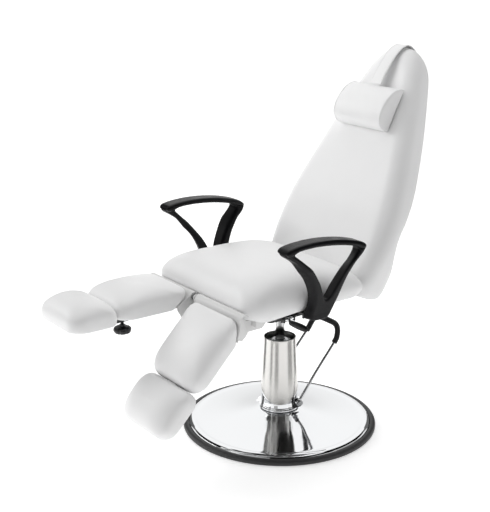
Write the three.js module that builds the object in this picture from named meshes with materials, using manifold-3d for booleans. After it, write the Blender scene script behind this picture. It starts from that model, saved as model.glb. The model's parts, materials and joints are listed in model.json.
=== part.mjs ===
// Pedicure spa chair: hydraulic pump base, swivel seat, reclining back with a head pillow,
// two looped armrests and two leg rests that fold and lengthen independently.
// Millimetres. Origin on the floor under the column, +Z up, the sitter faces -Y.

import * as THREE from 'three';
import { mergeVertices } from 'three/addons/utils/BufferGeometryUtils.js';
import Module from 'manifold-3d';

const wasm = await Module();
wasm.setup();

// ---------------------------------------------------------------- driving dimensions

const GAP = 0.3; // between pieces that touch
const BASE_RADIUS = 300;
const DOME_RADIUS = 282;
const PLATE_RADIUS = 278;
const PLATE_HEIGHT = 6;
const RAM_RADIUS = 14.4;
const PUMP_RADIUS = 42;
const PUMP_TOP = 272;

const SLEEVE_TOP = 289;
const SLEEVE_TOP_RADIUS = 49.4;
const SLEEVE_TAPER = 0.0475; // radius gained per millimetre of descent
const SLEEVE_WALL = 1.3;
const SLEEVE_LOW = 84; // lowest point of the scooped lower edge
const SLEEVE_SCOOP = 64; // radius of that scoop

const AXLE_RADIUS = 7;
const PEDAL_PIVOT = [22, 86]; // y, z
const PEDAL_AXLE_RADIUS = 6;
const PEDAL_HALF_WIDTH = 68.5;

const MOUNT_BOTTOM = 380;
const MOUNT_TOP = 386;
const FRAME_BOTTOM = 419;
const SEAT_BOTTOM = 460;
const BOARD = 12;
const SEAT_HALF_WIDTH = 247;
const SEAT_FRONT = -299;

const BACK_TILT = 27.58; // degrees from the vertical
const BACK_CREASE = [123, 511]; // y, z where seat and back meet on the centre line
const BACK_HINGE = [66, -70]; // depth behind the front face, height along the back
const BACK_TOP = 720;

const ARM_CENTRE = 291;
const ARM_PAD_WIDTH = 48;
const ARM_LEG_WIDTH = 28;
const ARM_BOTTOM = 441;
const ARM_LEAN = 0.2; // outward per millimetre of height
const ARM_LEAN_TOP = 600;
const ARM_NECK = -60; // y where the two legs meet

const LEG_PIVOT = [-307, 477]; // y, z
const LEG_INNER = 11;
const LEG_OUTER = 234;
const LEG_MIDDLE = 122;
const LEG_ANGLES = { left: 45, right: 0 }; // degrees below the horizontal
const CALF = [17, 242]; // start and end, measured from the pivot
const FOOT = [244.5, 394];
const PAD_BOTTOM = -29;
const FOOT_BOTTOM = -36;
const KNOB_PLACE = 177;
const CRANK = [25, -44]; // strut pin, along and normal to the leg
const STRUT_HEIGHT = 429;
const STRUT_SIDE = 26;

const SPRING_SIDE = -150;
const SPRING_HEIGHT = 382.5;
const SPRING_CRANK = [168, 385.5]; // y, z of the crank pin with the back upright

// ---------------------------------------------------------------- finishes

const finish = (color, roughness, metalness) => () =>
  new THREE.MeshStandardMaterial({ color, roughness, metalness });
const chrome = finish('#c9cbcd', 0.07, 1);
const satinSteel = finish('#a9a8a4', 0.34, 1);
const steel = finish('#8b8e91', 0.45, 1);
const whitePaint = finish('#dcdcda', 0.4, 0);
const blackPaint = finish('#17181a', 0.45, 0.2);
const rubber = finish('#2b2c2e', 0.8, 0);
const blackFoam = finish('#141416', 0.42, 0);
const vinyl = finish('#ececea', 0.5, 0);
const plywood = finish('#1f1c1a', 0.75, 0);

// ---------------------------------------------------------------- solids

function toSolid(geometry) {
  const bare = geometry.clone();
  bare.deleteAttribute('normal');
  bare.deleteAttribute('uv');
  const merged = mergeVertices(bare, 1e-4);
  const corners = [];
  for (let i = 0; i < merged.index.count; i += 3) {
    const [a, b, c] = [0, 1, 2].map((k) => merged.index.getX(i + k));
    if (a !== b && b !== c && c !== a) corners.push(a, b, c);
  }
  return new wasm.Manifold(new wasm.Mesh({
    numProp: 3,
    vertProperties: new Float32Array(merged.attributes.position.array),
    triVerts: new Uint32Array(corners),
  }));
}

function toGeometry(solid) {
  const mesh = solid.getMesh();
  const geometry = new THREE.BufferGeometry();
  geometry.setAttribute('position', new THREE.BufferAttribute(mesh.vertProperties, 3));
  geometry.setIndex(new THREE.BufferAttribute(mesh.triVerts, 1));
  geometry.computeVertexNormals();
  return geometry;
}

const join = (...parts) => toGeometry(parts.map(toSolid).reduce((a, b) => a.add(b)));
const cut = (body, ...tools) =>
  toGeometry(tools.map(toSolid).reduce((a, b) => a.subtract(b), toSolid(body)));
const common = (...parts) => toGeometry(parts.map(toSolid).reduce((a, b) => a.intersect(b)));

// ---------------------------------------------------------------- outlines

const outline = (points) => new THREE.Shape(points.map(([x, y]) => new THREE.Vector2(x, y)));

function disc(x, y, radius, sides = 16) {
  const points = [];
  for (let i = 0; i < sides; i += 1) {
    const turn = (2 * Math.PI * i) / sides;
    points.push([x + radius * Math.cos(turn), y + radius * Math.sin(turn)]);
  }
  return outline(points);
}

// A rectangle with one corner radius at its low-y end and another at its high-y end.
function roundedBox(x0, y0, x1, y1, lowRadius, highRadius = lowRadius) {
  const shape = new THREE.Shape();
  shape.moveTo(x0 + lowRadius, y0);
  shape.absarc(x1 - lowRadius, y0 + lowRadius, lowRadius, -Math.PI / 2, 0);
  shape.absarc(x1 - highRadius, y1 - highRadius, highRadius, 0, Math.PI / 2);
  shape.absarc(x0 + highRadius, y1 - highRadius, highRadius, Math.PI / 2, Math.PI);
  shape.absarc(x0 + lowRadius, y0 + lowRadius, lowRadius, Math.PI, 1.5 * Math.PI);
  return shape;
}

// A strip of even thickness along a middle line.
function ribbon(middle, thickness) {
  const sides = [[], []];
  middle.forEach(([x, y], i) => {
    const [px, py] = middle[Math.max(i - 1, 0)];
    const [nx, ny] = middle[Math.min(i + 1, middle.length - 1)];
    const length = Math.hypot(nx - px, ny - py);
    const offset = [(-(ny - py) / length) * (thickness / 2), ((nx - px) / length) * (thickness / 2)];
    sides[0].push([x + offset[0], y + offset[1]]);
    sides[1].unshift([x - offset[0], y - offset[1]]);
  });
  return outline([...sides[0], ...sides[1]]);
}

// ---------------------------------------------------------------- shapes from outlines

function extruded(shape, length, bevel, bevelSteps) {
  const geometry = new THREE.ExtrudeGeometry(shape, {
    depth: length - 2 * bevel,
    curveSegments: 5,
    bevelEnabled: bevel > 0,
    bevelSize: bevel,
    bevelOffset: -bevel,
    bevelThickness: bevel,
    bevelSegments: bevelSteps,
  });
  return geometry.translate(0, 0, bevel);
}

// The outline lies in y, z and runs along x.
function alongX(shape, x0, x1, bevel = 0, bevelSteps = 2) {
  const turn = new THREE.Matrix4().makeBasis(
    new THREE.Vector3(0, 1, 0),
    new THREE.Vector3(0, 0, 1),
    new THREE.Vector3(1, 0, 0),
  );
  const [low, high] = [Math.min(x0, x1), Math.max(x0, x1)];
  return extruded(shape, high - low, bevel, bevelSteps).applyMatrix4(turn).translate(low, 0, 0);
}

// The outline lies in x, z and runs along y.
const alongY = (shape, y0, y1, bevel = 0, bevelSteps = 2) =>
  extruded(shape, y1 - y0, bevel, bevelSteps).rotateX(Math.PI / 2).translate(0, y1, 0);

// The outline lies in x, y and runs along z.
const alongZ = (shape, z0, z1, bevel = 0, bevelSteps = 2) =>
  extruded(shape, z1 - z0, bevel, bevelSteps).translate(0, 0, z0);

// A box between two x, two y and two z values.
const block = (x, y, z) =>
  new THREE.BoxGeometry(Math.abs(x[1] - x[0]), Math.abs(y[1] - y[0]), Math.abs(z[1] - z[0]))
    .translate((x[0] + x[1]) / 2, (y[0] + y[1]) / 2, (z[0] + z[1]) / 2);

// A profile of [radius, z] points turned about the z axis, outer side going up.
const turned = (profile, sides = 32) =>
  new THREE.LatheGeometry(profile.map(([r, z]) => new THREE.Vector2(r, z)), sides)
    .rotateX(Math.PI / 2);

function rod(from, to, radius, sides = 12) {
  const start = new THREE.Vector3(...from);
  const end = new THREE.Vector3(...to);
  const direction = end.clone().sub(start);
  const turn = new THREE.Quaternion().setFromUnitVectors(
    new THREE.Vector3(0, 1, 0),
    direction.clone().normalize(),
  );
  const middle = start.add(end).multiplyScalar(0.5);
  return new THREE.CylinderGeometry(radius, radius, direction.length(), sides)
    .applyQuaternion(turn)
    .translate(middle.x, middle.y, middle.z);
}

// A bar along a curve, or a hose where a bore is given.
function pipe(curve, radius, steps, bore = 0) {
  const section = disc(0, 0, radius, 8);
  if (bore > 0) section.holes.push(disc(0, 0, bore, 8));
  return new THREE.ExtrudeGeometry(section, { steps, extrudePath: curve, bevelEnabled: false });
}

const curveThrough = (points) =>
  new THREE.CatmullRomCurve3(points.map((p) => new THREE.Vector3(...p)));

function add(group, name, geometry, material) {
  const mesh = new THREE.Mesh(geometry, material());
  mesh.name = name;
  group.add(mesh);
}

// ---------------------------------------------------------------- base and pump

function sleeveShell() {
  const bottom = SLEEVE_LOW - 4;
  const low = SLEEVE_TOP_RADIUS + (SLEEVE_TOP - bottom) * SLEEVE_TAPER;
  const shell = turned([
    [low - SLEEVE_WALL, bottom],
    [low, bottom],
    [SLEEVE_TOP_RADIUS, SLEEVE_TOP],
    [SLEEVE_TOP_RADIUS - SLEEVE_WALL, SLEEVE_TOP],
    [low - SLEEVE_WALL, bottom],
  ]);
  // The lower edge is scooped on both flanks, which leaves a low tongue front and rear.
  const scoopHeight = SLEEVE_LOW + SLEEVE_SCOOP;
  const tongue = Math.atan2(-0.6, 0.8);
  const below = block([-80, 80], [-80, 80], [SLEEVE_LOW - 30, scoopHeight]);
  const kept = rod([-100, 0, scoopHeight], [100, 0, scoopHeight], SLEEVE_SCOOP, 40);
  const scoop = cut(below, kept).rotateZ(tongue);
  const axleNotch = block([-75, -35], [PEDAL_PIVOT[0] - 12, PEDAL_PIVOT[0] + 12], [60, 99]);
  return cut(shell, scoop, axleNotch);
}

function addBase(chair) {
  add(chair, 'floor_plate', turned([
    [0, 0],
    [PLATE_RADIUS, 0],
    [PLATE_RADIUS, PLATE_HEIGHT],
    [0, PLATE_HEIGHT],
  ], 40), steel);
  add(chair, 'base_dome', turned([
    [278.4, 7], [281, 7], [DOME_RADIUS, 14], [277, 20], [264, 22.5], [250, 21.5],
    [200, 25.4], [150, 32.5], [100, 44.5], [66, 56], [50, 58.4], [50, 55.4], [64, 53],
    [98, 41.5], [149, 29.5], [199, 22.4], [250, 18.5], [264, 19.3], [275.5, 17.5],
    [279, 13], [278.4, 7],
  ], 40), chrome);
  add(chair, 'rubber_ring', turned([
    [282.6, 0], [297.5, 0], [BASE_RADIUS, 3], [BASE_RADIUS, 10], [297.5, 14.5],
    [291, 17], [284.5, 17], [282.6, 14.8], [282.6, 0],
  ], 40), rubber);

  const axleLine = [[-90, ...PEDAL_PIVOT], [90, ...PEDAL_PIVOT]];
  add(chair, 'pump_body', cut(turned([
    [0, PLATE_HEIGHT + GAP], [70, PLATE_HEIGHT + GAP], [70, 14], [PUMP_RADIUS, 14],
    [PUMP_RADIUS, 262], [38, PUMP_TOP], [25, PUMP_TOP], [25, 279], [22, 281],
    [RAM_RADIUS + 0.6, 281], [RAM_RADIUS + 0.6, 20], [0, 20],
  ], 24), rod(...axleLine, PEDAL_AXLE_RADIUS + 0.5)), blackPaint);
  add(chair, 'pump_collar', cut(turned([
    [45, 58.8], [61.8, 58.8], [62.6, 60.5], [62.6, 64.5], [60.2, 66.5], [60.2, 69],
    [58.8, 71], [57.2, 84], [55.6, 118], [45, 118], [45, 58.8],
  ]), rod(...axleLine, PEDAL_AXLE_RADIUS + 1)), chrome);
  add(chair, 'column_sleeve', sleeveShell(), satinSteel);

  for (const [side, sign] of [['left', 1], ['right', -1]]) {
    const [y, z] = PEDAL_PIVOT;
    const plate = join(
      alongX(outline([[y - 15, 67], [y + 15, 67], [y + 9, z + 7], [y - 9, z + 7]]), 60.5, 63.4),
      alongX(disc(y, z, 12), 60.5, 63.4),
    );
    const bracket = cut(plate, rod([55, y, z], [75, y, z], PEDAL_AXLE_RADIUS + 0.5));
    add(chair, `pedal_bracket_${side}`, sign > 0 ? bracket : bracket.rotateZ(Math.PI)
      .translate(0, 2 * y, 0), blackPaint);
  }
}

// ---------------------------------------------------------------- pump pedal

function addPedal(chair) {
  const [y, z] = PEDAL_PIVOT;
  const w = PEDAL_HALF_WIDTH;
  const half = [
    [w, y + 4, z + 6], [w - 1, 88, 167], [w - 2, 163, 250], [w - 4, 176, 270],
    [w - 12, 184, 290], [w - 26, 187, 299], [w - 44, 188, 301],
  ];
  const loop = curveThrough([...half, ...half.map(([x, py, pz]) => [-x, py, pz]).reverse()]);
  const eyes = [w, -w].map((x) => alongX(disc(y, z, 11), x - 3.8, x + 3.8));
  const bores = rod([-90, y, z], [90, y, z], PEDAL_AXLE_RADIUS + 0.35);
  add(chair, 'pedal_frame', cut(join(pipe(loop, 4.5, 32), ...eyes), bores), chrome);

  const covered = curveThrough(loop.getPoints(96).slice(15, 82).map((p) => p.toArray()));
  add(chair, 'pedal_grip', pipe(covered, 9, 26, 6.4), rubber);
  const end = w + 5;
  add(chair, 'pedal_axle', join(
    rod([-end, y, z], [end, y, z], PEDAL_AXLE_RADIUS),
    ...[end, -end].map((x) => rod([x, y, z], [x + Math.sign(x) * 6, y, z], 9, 6)),
  ), steel);
}

// ---------------------------------------------------------------- lifting ram

function addLift(chair) {
  add(chair, 'pump_ram', turned([
    [0, 62], [RAM_RADIUS, 62], [RAM_RADIUS, 372], [24, 374], [24, MOUNT_BOTTOM - GAP],
    [12.4, MOUNT_BOTTOM - GAP], [12.4, 412], [0, 412],
  ], 24), chrome);
}

// ---------------------------------------------------------------- seat frame

function addSeatFrame(chair) {
  add(chair, 'mounting_plate', cut(
    join(
      alongZ(roundedBox(-90, -110, 90, 110, 12), MOUNT_BOTTOM, MOUNT_TOP),
      rod([0, 0, MOUNT_TOP - 1], [0, 0, 417], 27, 24),
    ),
    rod([0, 0, MOUNT_BOTTOM - 5], [0, 0, 414], 12.9, 24),
  ), blackPaint);
  for (const [end, y] of [['front', -100], ['rear', 65]]) {
    add(chair, `cross_bar_${end}`, block([-105, 105], [y, y + 30],
      [MOUNT_TOP + GAP, FRAME_BOTTOM - GAP]), blackPaint);
  }
  const top = SEAT_BOTTOM - GAP;
  const rails = [86, -86].map((x) => block([x - 14, x + 14], [-250, 75], [FRAME_BOTTOM, top]));
  add(chair, 'seat_frame', join(
    block([-222, 222], [-262, -232], [441.5, top]),
    block([-125, 125], [60, 88], [FRAME_BOTTOM, 443]),
    ...rails,
  ), whitePaint);

  const [hy, hz] = LEG_PIVOT;
  const ear = join(
    alongX(disc(hy, hz, 10.5), 0, 5),
    alongX(outline([
      [-314, 469.2], [-297.2, 473], [-288, 465.5], [-280, top], [-262 - GAP, top],
      [-262 - GAP, 441.2], [-213, 441.2], [-226, 427], [-276, 427], [-298, 447],
    ]), 0, 5),
  );
  const ears = { left: 198, centre: -2.5, right: -203 };
  for (const [side, x] of Object.entries(ears)) {
    const bracket = cut(ear.clone(), rod([-5, hy, hz], [10, hy, hz], AXLE_RADIUS + GAP));
    add(chair, `leg_hinge_bracket_${side}`, bracket.translate(x, 0, 0), whitePaint);
  }
  add(chair, 'leg_axle', rod([-214, hy, hz], [214, hy, hz], AXLE_RADIUS), steel);

  const [by, bz] = backHinge();
  const lug = cut(
    join(
      alongX(outline([
        [88 + GAP, 443], [88 + GAP, 419], [100, 409], [by - 6, bz - 11.5], [by, bz],
        [by - 3, bz + 12], [120, 440],
      ]), 0, 6),
      alongX(disc(by, bz, 12.5), 0, 6),
    ),
    rod([-5, by, bz], [10, by, bz], AXLE_RADIUS + GAP),
  );
  for (const [side, x] of [['left', 112], ['right', -118]]) {
    add(chair, `back_hinge_bracket_${side}`, lug.clone().translate(x, 0, 0), blackPaint);
  }
}

// ---------------------------------------------------------------- seat and armrests

function addSeat(chair) {
  const boardOutline = (grow) => roundedBox(-222 - grow, -258 - grow, 222 + grow, 80 + grow, 40);
  add(chair, 'seat_board', alongZ(boardOutline(0), SEAT_BOTTOM, SEAT_BOTTOM + BOARD), plywood);
  const plan = roundedBox(-SEAT_HALF_WIDTH, SEAT_FRONT - 1, SEAT_HALF_WIDTH, 134, 78, 40);
  const side = outline([
    [-276, SEAT_BOTTOM], [-286, 476], [-294, 492], [SEAT_FRONT, 506], [-298, 520], [-288, 537],
    [-266, 549], [-225, 556], [-150, 558], [-50, 554], [40, 548], [85, 541], [108, 529],
    [118.5, 514], [105, 484], [92, SEAT_BOTTOM],
  ]);
  add(chair, 'seat_cushion', cut(
    common(alongZ(plan, 420, 559, 38, 3), alongX(side, -260, 260)),
    alongZ(boardOutline(0.4), SEAT_BOTTOM - 20, SEAT_BOTTOM + BOARD + 0.4),
  ), vinyl);
}

// The legs lean out from the seat's side up to the pad, and close in on their outer side.
function armrest(side) {
  const loop = outline([
    [-112, 466], [-106, 491], [-109, 518], [-115, 536], [-125, 557], [-138, 578], [-155, 598],
    [-172, 618], [-187, 633], [-206, 646], [-224, 657], [-228, 664], [-224, 673], [-212, 678],
    [-184, 681.5], [-144, 683], [-104, 682], [-65, 678.5], [-20, 671.5], [20, 662], [48, 652],
    [62, 642], [62, 633], [55, 621], [44, 610], [31, 598], [19, 581], [8, 564], [0, 548],
    [-8, 529], [-14, 512], [-19, 493], [-28, 470], [-36, 455], [-45, 445], [-56, ARM_BOTTOM],
    [-89, ARM_BOTTOM], [-106, 445], [-114, 450],
  ]);
  const window = outline([
    [-60, 498], [-50, 505], [-42, 516], [-36, 530], [-25, 550], [-13, 570], [-1, 587], [12, 602],
    [26, 617], [36, 632], [34, 641], [14, 652], [-43, 663], [-105, 670], [-153, 671], [-180, 668],
    [-193, 660], [-190, 653], [-176, 641], [-159, 626], [-137, 606], [-113, 577], [-94, 550],
    [-79, 520], [-70, 503],
  ]);
  loop.holes.push(window);
  const pad = outline([
    [-226, 664], [-224, 673], [-212, 678], [-184, 682], [-144, 684], [-104, 683], [-65, 679.5],
    [-20, 672.5], [20, 663], [48, 653], [61, 641], [50, 637], [14, 650], [-43, 662], [-105, 669],
    [-153, 670], [-184, 668], [-208, 660],
  ]);
  const halfLeg = ARM_LEG_WIDTH / 2;
  const halfPad = ARM_PAD_WIDTH / 2;
  const legs = alongX(loop, -halfLeg, halfLeg, 3, 1);
  const corners = legs.attributes.position;
  for (let i = 0; i < corners.count; i += 1) {
    const [x, y, z] = [corners.getX(i), corners.getY(i), corners.getZ(i)];
    const below = Math.min(0, Math.max(z, SEAT_BOTTOM) - ARM_LEAN_TOP);
    const narrowing = 0.085 * side * (x / halfLeg) * Math.min(1, Math.max(0, (650 - z) / 50));
    corners.setXYZ(i, x + side * ARM_LEAN * below, ARM_NECK + (y - ARM_NECK) * (1 - narrowing), z);
  }
  return join(legs, alongX(pad, -halfPad, halfPad, 3, 1));
}

function addArms(chair) {
  const top = SEAT_BOTTOM - GAP;
  const lean = ARM_LEAN * (ARM_LEAN_TOP - SEAT_BOTTOM);
  const inner = ARM_CENTRE - lean - ARM_LEG_WIDTH / 2 - GAP;
  for (const [side, sign] of [['left', 1], ['right', -1]]) {
    add(chair, `armrest_${side}`, armrest(sign).translate(sign * ARM_CENTRE, 0, 0), blackFoam);
    const angle = outline([
      [sign * 130, top - 5], [sign * (inner - 5), top - 5], [sign * (inner - 5), ARM_BOTTOM + 3],
      [sign * inner, ARM_BOTTOM + 3], [sign * inner, top], [sign * 130, top],
    ]);
    add(chair, `arm_bracket_${side}`, alongY(angle, -116, -62), blackPaint);
  }
}

// ---------------------------------------------------------------- recline lever and spring

function addRecline(chair) {
  const [px, pz] = [101, 385];
  add(chair, 'lever_bracket', join(
    block([90 + GAP, 94], [-70, -28], [374, 396]),
    block([93, 108], [-70, -66], [377, 393]),
    block([93, 108], [-32, -28], [377, 393]),
  ), blackPaint);
  const wand = curveThrough([[px, -49, pz], [120, -60, 388], [150, -79, 394], [215, -94, 403]]);
  add(chair, 'recline_lever', join(
    rod([px, -65, pz], [px, -33, pz], 6.5),
    pipe(wand, 4, 10),
  ), chrome);
  const gripStart = new THREE.Vector3(150, -79, 394);
  const gripEnd = new THREE.Vector3(250, -102, 408);
  const gripTurn = new THREE.Quaternion().setFromUnitVectors(
    new THREE.Vector3(0, 0, 1),
    gripEnd.clone().sub(gripStart).normalize(),
  );
  const grip = turned([
    [6, 0], [7.4, 0], [8.2, 10], [9.4, 40], [9.6, 66], [8.6, 88], [6, 101], [2, 104], [0, 104],
    [0, 72], [6, 72], [6, 0],
  ], 16).applyQuaternion(gripTurn).translate(...gripStart.toArray());
  add(chair, 'recline_grip', grip, rubber);

  const x = SPRING_SIDE;
  add(chair, 'spring_bracket', join(
    block([x - 3, x + 3], [-176, -141], [376, SEAT_BOTTOM - GAP]),
    block([x - 20, x + 20], [-176, -141], [SEAT_BOTTOM - GAP - 5, SEAT_BOTTOM - GAP]),
  ), blackPaint);
  add(chair, 'spring_cylinder', cut(
    rod([x, -141 + GAP, SPRING_HEIGHT], [x, 62, SPRING_HEIGHT], 11),
    rod([x, -100, SPRING_HEIGHT], [x, 70, SPRING_HEIGHT], 5.5),
  ), blackPaint);
  const eye = SPRING_CRANK[0];
  add(chair, 'spring_rod', join(
    rod([x, -50, SPRING_HEIGHT], [x, eye, SPRING_HEIGHT], 5),
    alongX(disc(eye, SPRING_HEIGHT, 9), x - 3, x + 3),
  ), chrome);
  const [by, bz] = backHinge();
  const [cy, cz] = SPRING_CRANK;
  add(chair, 'recline_crank', cut(join(
    alongX(disc(by, bz, 13), x - 15, x - 9),
    alongX(disc(cy, cz, 9), x - 15, x - 9),
    alongX(outline([[by - 12, bz - 5], [cy - 8, cz - 4], [cy + 8, cz + 4], [by + 12, bz + 5]]),
      x - 15, x - 9),
    rod([x - 10, cy, cz], [x - 5.4, cy, cz], 5),
  ), rod([x - 20, by, bz], [x, by, bz], AXLE_RADIUS + GAP)), steel);
  add(chair, 'back_axle', rod([x - 18, by, bz], [126, by, bz], AXLE_RADIUS), steel);
}

// ---------------------------------------------------------------- backrest

// In the backrest's own axes y is the depth behind its front face and z runs up the back.
function backHinge() {
  const tilt = THREE.MathUtils.degToRad(BACK_TILT);
  const [depth, along] = BACK_HINGE;
  return [
    BACK_CREASE[0] + along * Math.sin(tilt) + depth * Math.cos(tilt),
    BACK_CREASE[1] + along * Math.cos(tilt) - depth * Math.sin(tilt),
  ];
}

const BACK_WIDTHS = [
  [-55, 214], [-44, 228], [-20, 236], [20, 241], [60, 245], [110, 245], [160, 243], [200, 239],
  [250, 228], [300, 214], [350, 201], [400, 187], [450, 172], [500, 156], [550, 140],
  [600, 122], [640, 102], [670, 80], [695, 54], [712, 26],
];
const BACK_REAR = [
  [-55, 104], [-20, 112], [40, 105], [100, 88], [150, 82], [210, 91], [270, 100], [350, 103],
  [450, 99], [560, 91], [650, 85], [BACK_TOP, 80],
];

function backWidth(height) {
  const above = BACK_WIDTHS.findIndex(([s]) => s >= height);
  const [s1, w1] = BACK_WIDTHS[above];
  const [s0, w0] = BACK_WIDTHS[Math.max(0, above - 1)];
  return s1 === s0 ? w1 : w0 + (w1 - w0) * (height - s0) / (s1 - s0);
}

function backOutline(inset, bottom, top) {
  const between = BACK_WIDTHS.filter(([s]) => s > bottom && s < top);
  const rows = [[bottom, backWidth(bottom)], ...between, [top, backWidth(top)]];
  const right = rows.map(([s, width]) => [width - inset, s]);
  const left = rows.map(([s, width]) => [inset - width, s]).reverse();
  return outline([...right, ...left]);
}

function addBackrest(chair) {
  const back = new THREE.Group();
  back.position.set(0, ...BACK_CREASE);
  back.rotation.x = -THREE.MathUtils.degToRad(BACK_TILT);
  chair.add(back);

  const rear = BACK_REAR.map(([s, depth]) => [depth, s]);
  const side = outline([...rear, [35, BACK_TOP + 1], [16, 712], [0, 690], [0, -12], [8, -36], [26, -50],
    [48, -55]]);
  const pocket = alongY(backOutline(36, -36, 645), 49.5, 140);
  const slots = [101, -101].map((x) => block([x - 7, x + 7], [58, 76], [-60, -20]));
  const crownedTop = backOutline(0, -55, 712);
  add(back, 'backrest_cushion', cut(
    common(alongY(crownedTop, -1, 121, 24, 2), alongX(side, -260, 260)),
    pocket,
    ...slots,
  ), vinyl);
  add(back, 'backrest_board', alongY(backOutline(37, -30, 640), 50, 60), plywood);

  const [hingeDepth, hingeAlong] = BACK_HINGE;
  const stiles = [101, -101].flatMap((x) => [
    block([x - 5, x + 5], [60.4, 73], [hingeAlong, 430]),
    alongX(disc(hingeDepth, hingeAlong, 12.5), x - 5, x + 5),
  ]);
  const straps = [40, 400].map((s) => block([-102, 102], [60.4, 66], [s, s + 30]));
  const bore = rod([-130, hingeDepth, hingeAlong], [130, hingeDepth, hingeAlong], AXLE_RADIUS + GAP);
  add(back, 'backrest_frame', cut(join(...stiles, ...straps), bore), blackPaint);

  const rows = BACK_REAR.filter(([s]) => s > -30 && s <= 650);
  add(back, 'backrest_panel', common(
    alongX(outline([
      ...rows.map(([s, depth]) => [depth - 1, s]),
      ...rows.map(([s, depth]) => [depth - 6, s]).reverse(),
    ]), -250, 250),
    alongY(backOutline(37, -30, 640), 40, 140),
  ), vinyl);

  const pillow = new THREE.Shape();
  pillow.moveTo(-1.5, 436);
  pillow.bezierCurveTo(-34, 430, -62, 452, -61, 492);
  pillow.bezierCurveTo(-60, 534, -34, 572, -1.5, 574);
  add(back, 'head_pillow', alongX(pillow, -106, 104, 7, 2), vinyl);
  add(back, 'head_strap', alongX(ribbon([
    [-27, 576], [-24, 600], [-14, 650], [-3, 690], [6, 712], [22, 726], [45, 730], [68, 729],
    [82, 718], [86, 690], [88.5, 640], [91.5, 600],
  ], 2.4), -24, 24), vinyl);
}

// ---------------------------------------------------------------- leg rests

// In a leg's own axes the leg runs along -y from the pivot and z is its normal.
const along = (points) => outline(points.map(([distance, height]) => [-distance, height]));

function legFrame() {
  const roll = [];
  for (let turn = 180; turn >= 60; turn -= 20) {
    const angle = THREE.MathUtils.degToRad(turn);
    roll.push([-13.25 * Math.cos(angle), 13.25 * Math.sin(angle)]);
  }
  const swoop = [[10, 9], [17, 4], [26, -1.5], [38, -8], [50, -16], [60, -22.5]];
  const middle = [...roll, ...swoop.map(([distance, height]) => [-distance, height])];
  const cheek = [[-6, -6], [4, 7], [14, 4], [26, -2.5], [40, -10], [56, -21], [58, -30],
    [44, -54], [16, -54], [6, -28]];
  const inner = LEG_INNER + 1;
  const cheeks = [inner, 206].flatMap((x) => [
    alongX(along(cheek), x, x + 4),
    alongX(disc(0, 0, 10.5), x, x + 4),
  ]);
  const [pinAlong, pinHeight] = CRANK;
  const frame = join(
    alongX(ribbon(middle, 3), LEG_INNER, LEG_OUTER + 1),
    block([26, 219], [-225, -52], [PAD_BOTTOM, PAD_BOTTOM + 3]),
    alongX(along([[48, -16], [52, -14.5], [70, -26], [70, -29], [64, -29]]), 26, 219),
    ...cheeks,
    rod([inner + 2, -pinAlong, pinHeight], [STRUT_SIDE - 4.2, -pinAlong, pinHeight], 4),
  );
  return cut(frame, rod([0, 0, 0], [240, 0, 0], AXLE_RADIUS + GAP));
}

function calfPad() {
  const plan = roundedBox(LEG_INNER, -CALF[1], LEG_OUTER, -CALF[0], 36, 50);
  const side = along([
    [17, 8], [21, 19], [38, 29], [75, 35], [140, 37], [200, 34], [230, 24], [CALF[1], 6],
    [CALF[1], -14], [233, PAD_BOTTOM], [70, PAD_BOTTOM], [60, -19], [50, -12], [38, -4], [26, 3],
  ]);
  return cut(
    common(alongZ(plan, -60, 38, 24, 2), alongX(side, LEG_INNER - 5, LEG_OUTER + 5)),
    block([25.4, 219.6], [-228, -51], [-50, -13.5]),
  );
}

function footPad() {
  const plan = roundedBox(LEG_INNER + 1, -FOOT[1], LEG_OUTER - 1, -FOOT[0], 42, 34);
  const side = along([
    [FOOT[0], 4], [252, 20], [285, 29], [330, 30], [368, 23], [388, 8], [FOOT[1], -8],
    [390, -24], [376, FOOT_BOTTOM], [254, FOOT_BOTTOM], [246, -22],
  ]);
  return common(alongZ(plan, -66, 31, 24, 2), alongX(side, LEG_INNER - 5, LEG_OUTER + 5));
}

function slideSocket() {
  return cut(
    block([96, 148], [-226, -66], [-61, PAD_BOTTOM - GAP]),
    block([101.4, 142.6], [-240, -50], [-54.7, -37.3]),
    rod([LEG_MIDDLE, -KNOB_PLACE, -70], [LEG_MIDDLE, -KNOB_PLACE, -50], 5.4),
  );
}

const clampKnob = () => turned([
  [0, -104], [21, -104], [26, -99], [26, -90], [20, -84], [5, -82], [5, -54.3], [0, -54.3],
], 16).translate(LEG_MIDDLE, -KNOB_PLACE, 0);

function strutRodEnd(side) {
  const angle = THREE.MathUtils.degToRad(LEG_ANGLES[side]);
  return LEG_PIVOT[0] - CRANK[0] * Math.cos(angle) - CRANK[1] * Math.sin(angle);
}

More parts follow.
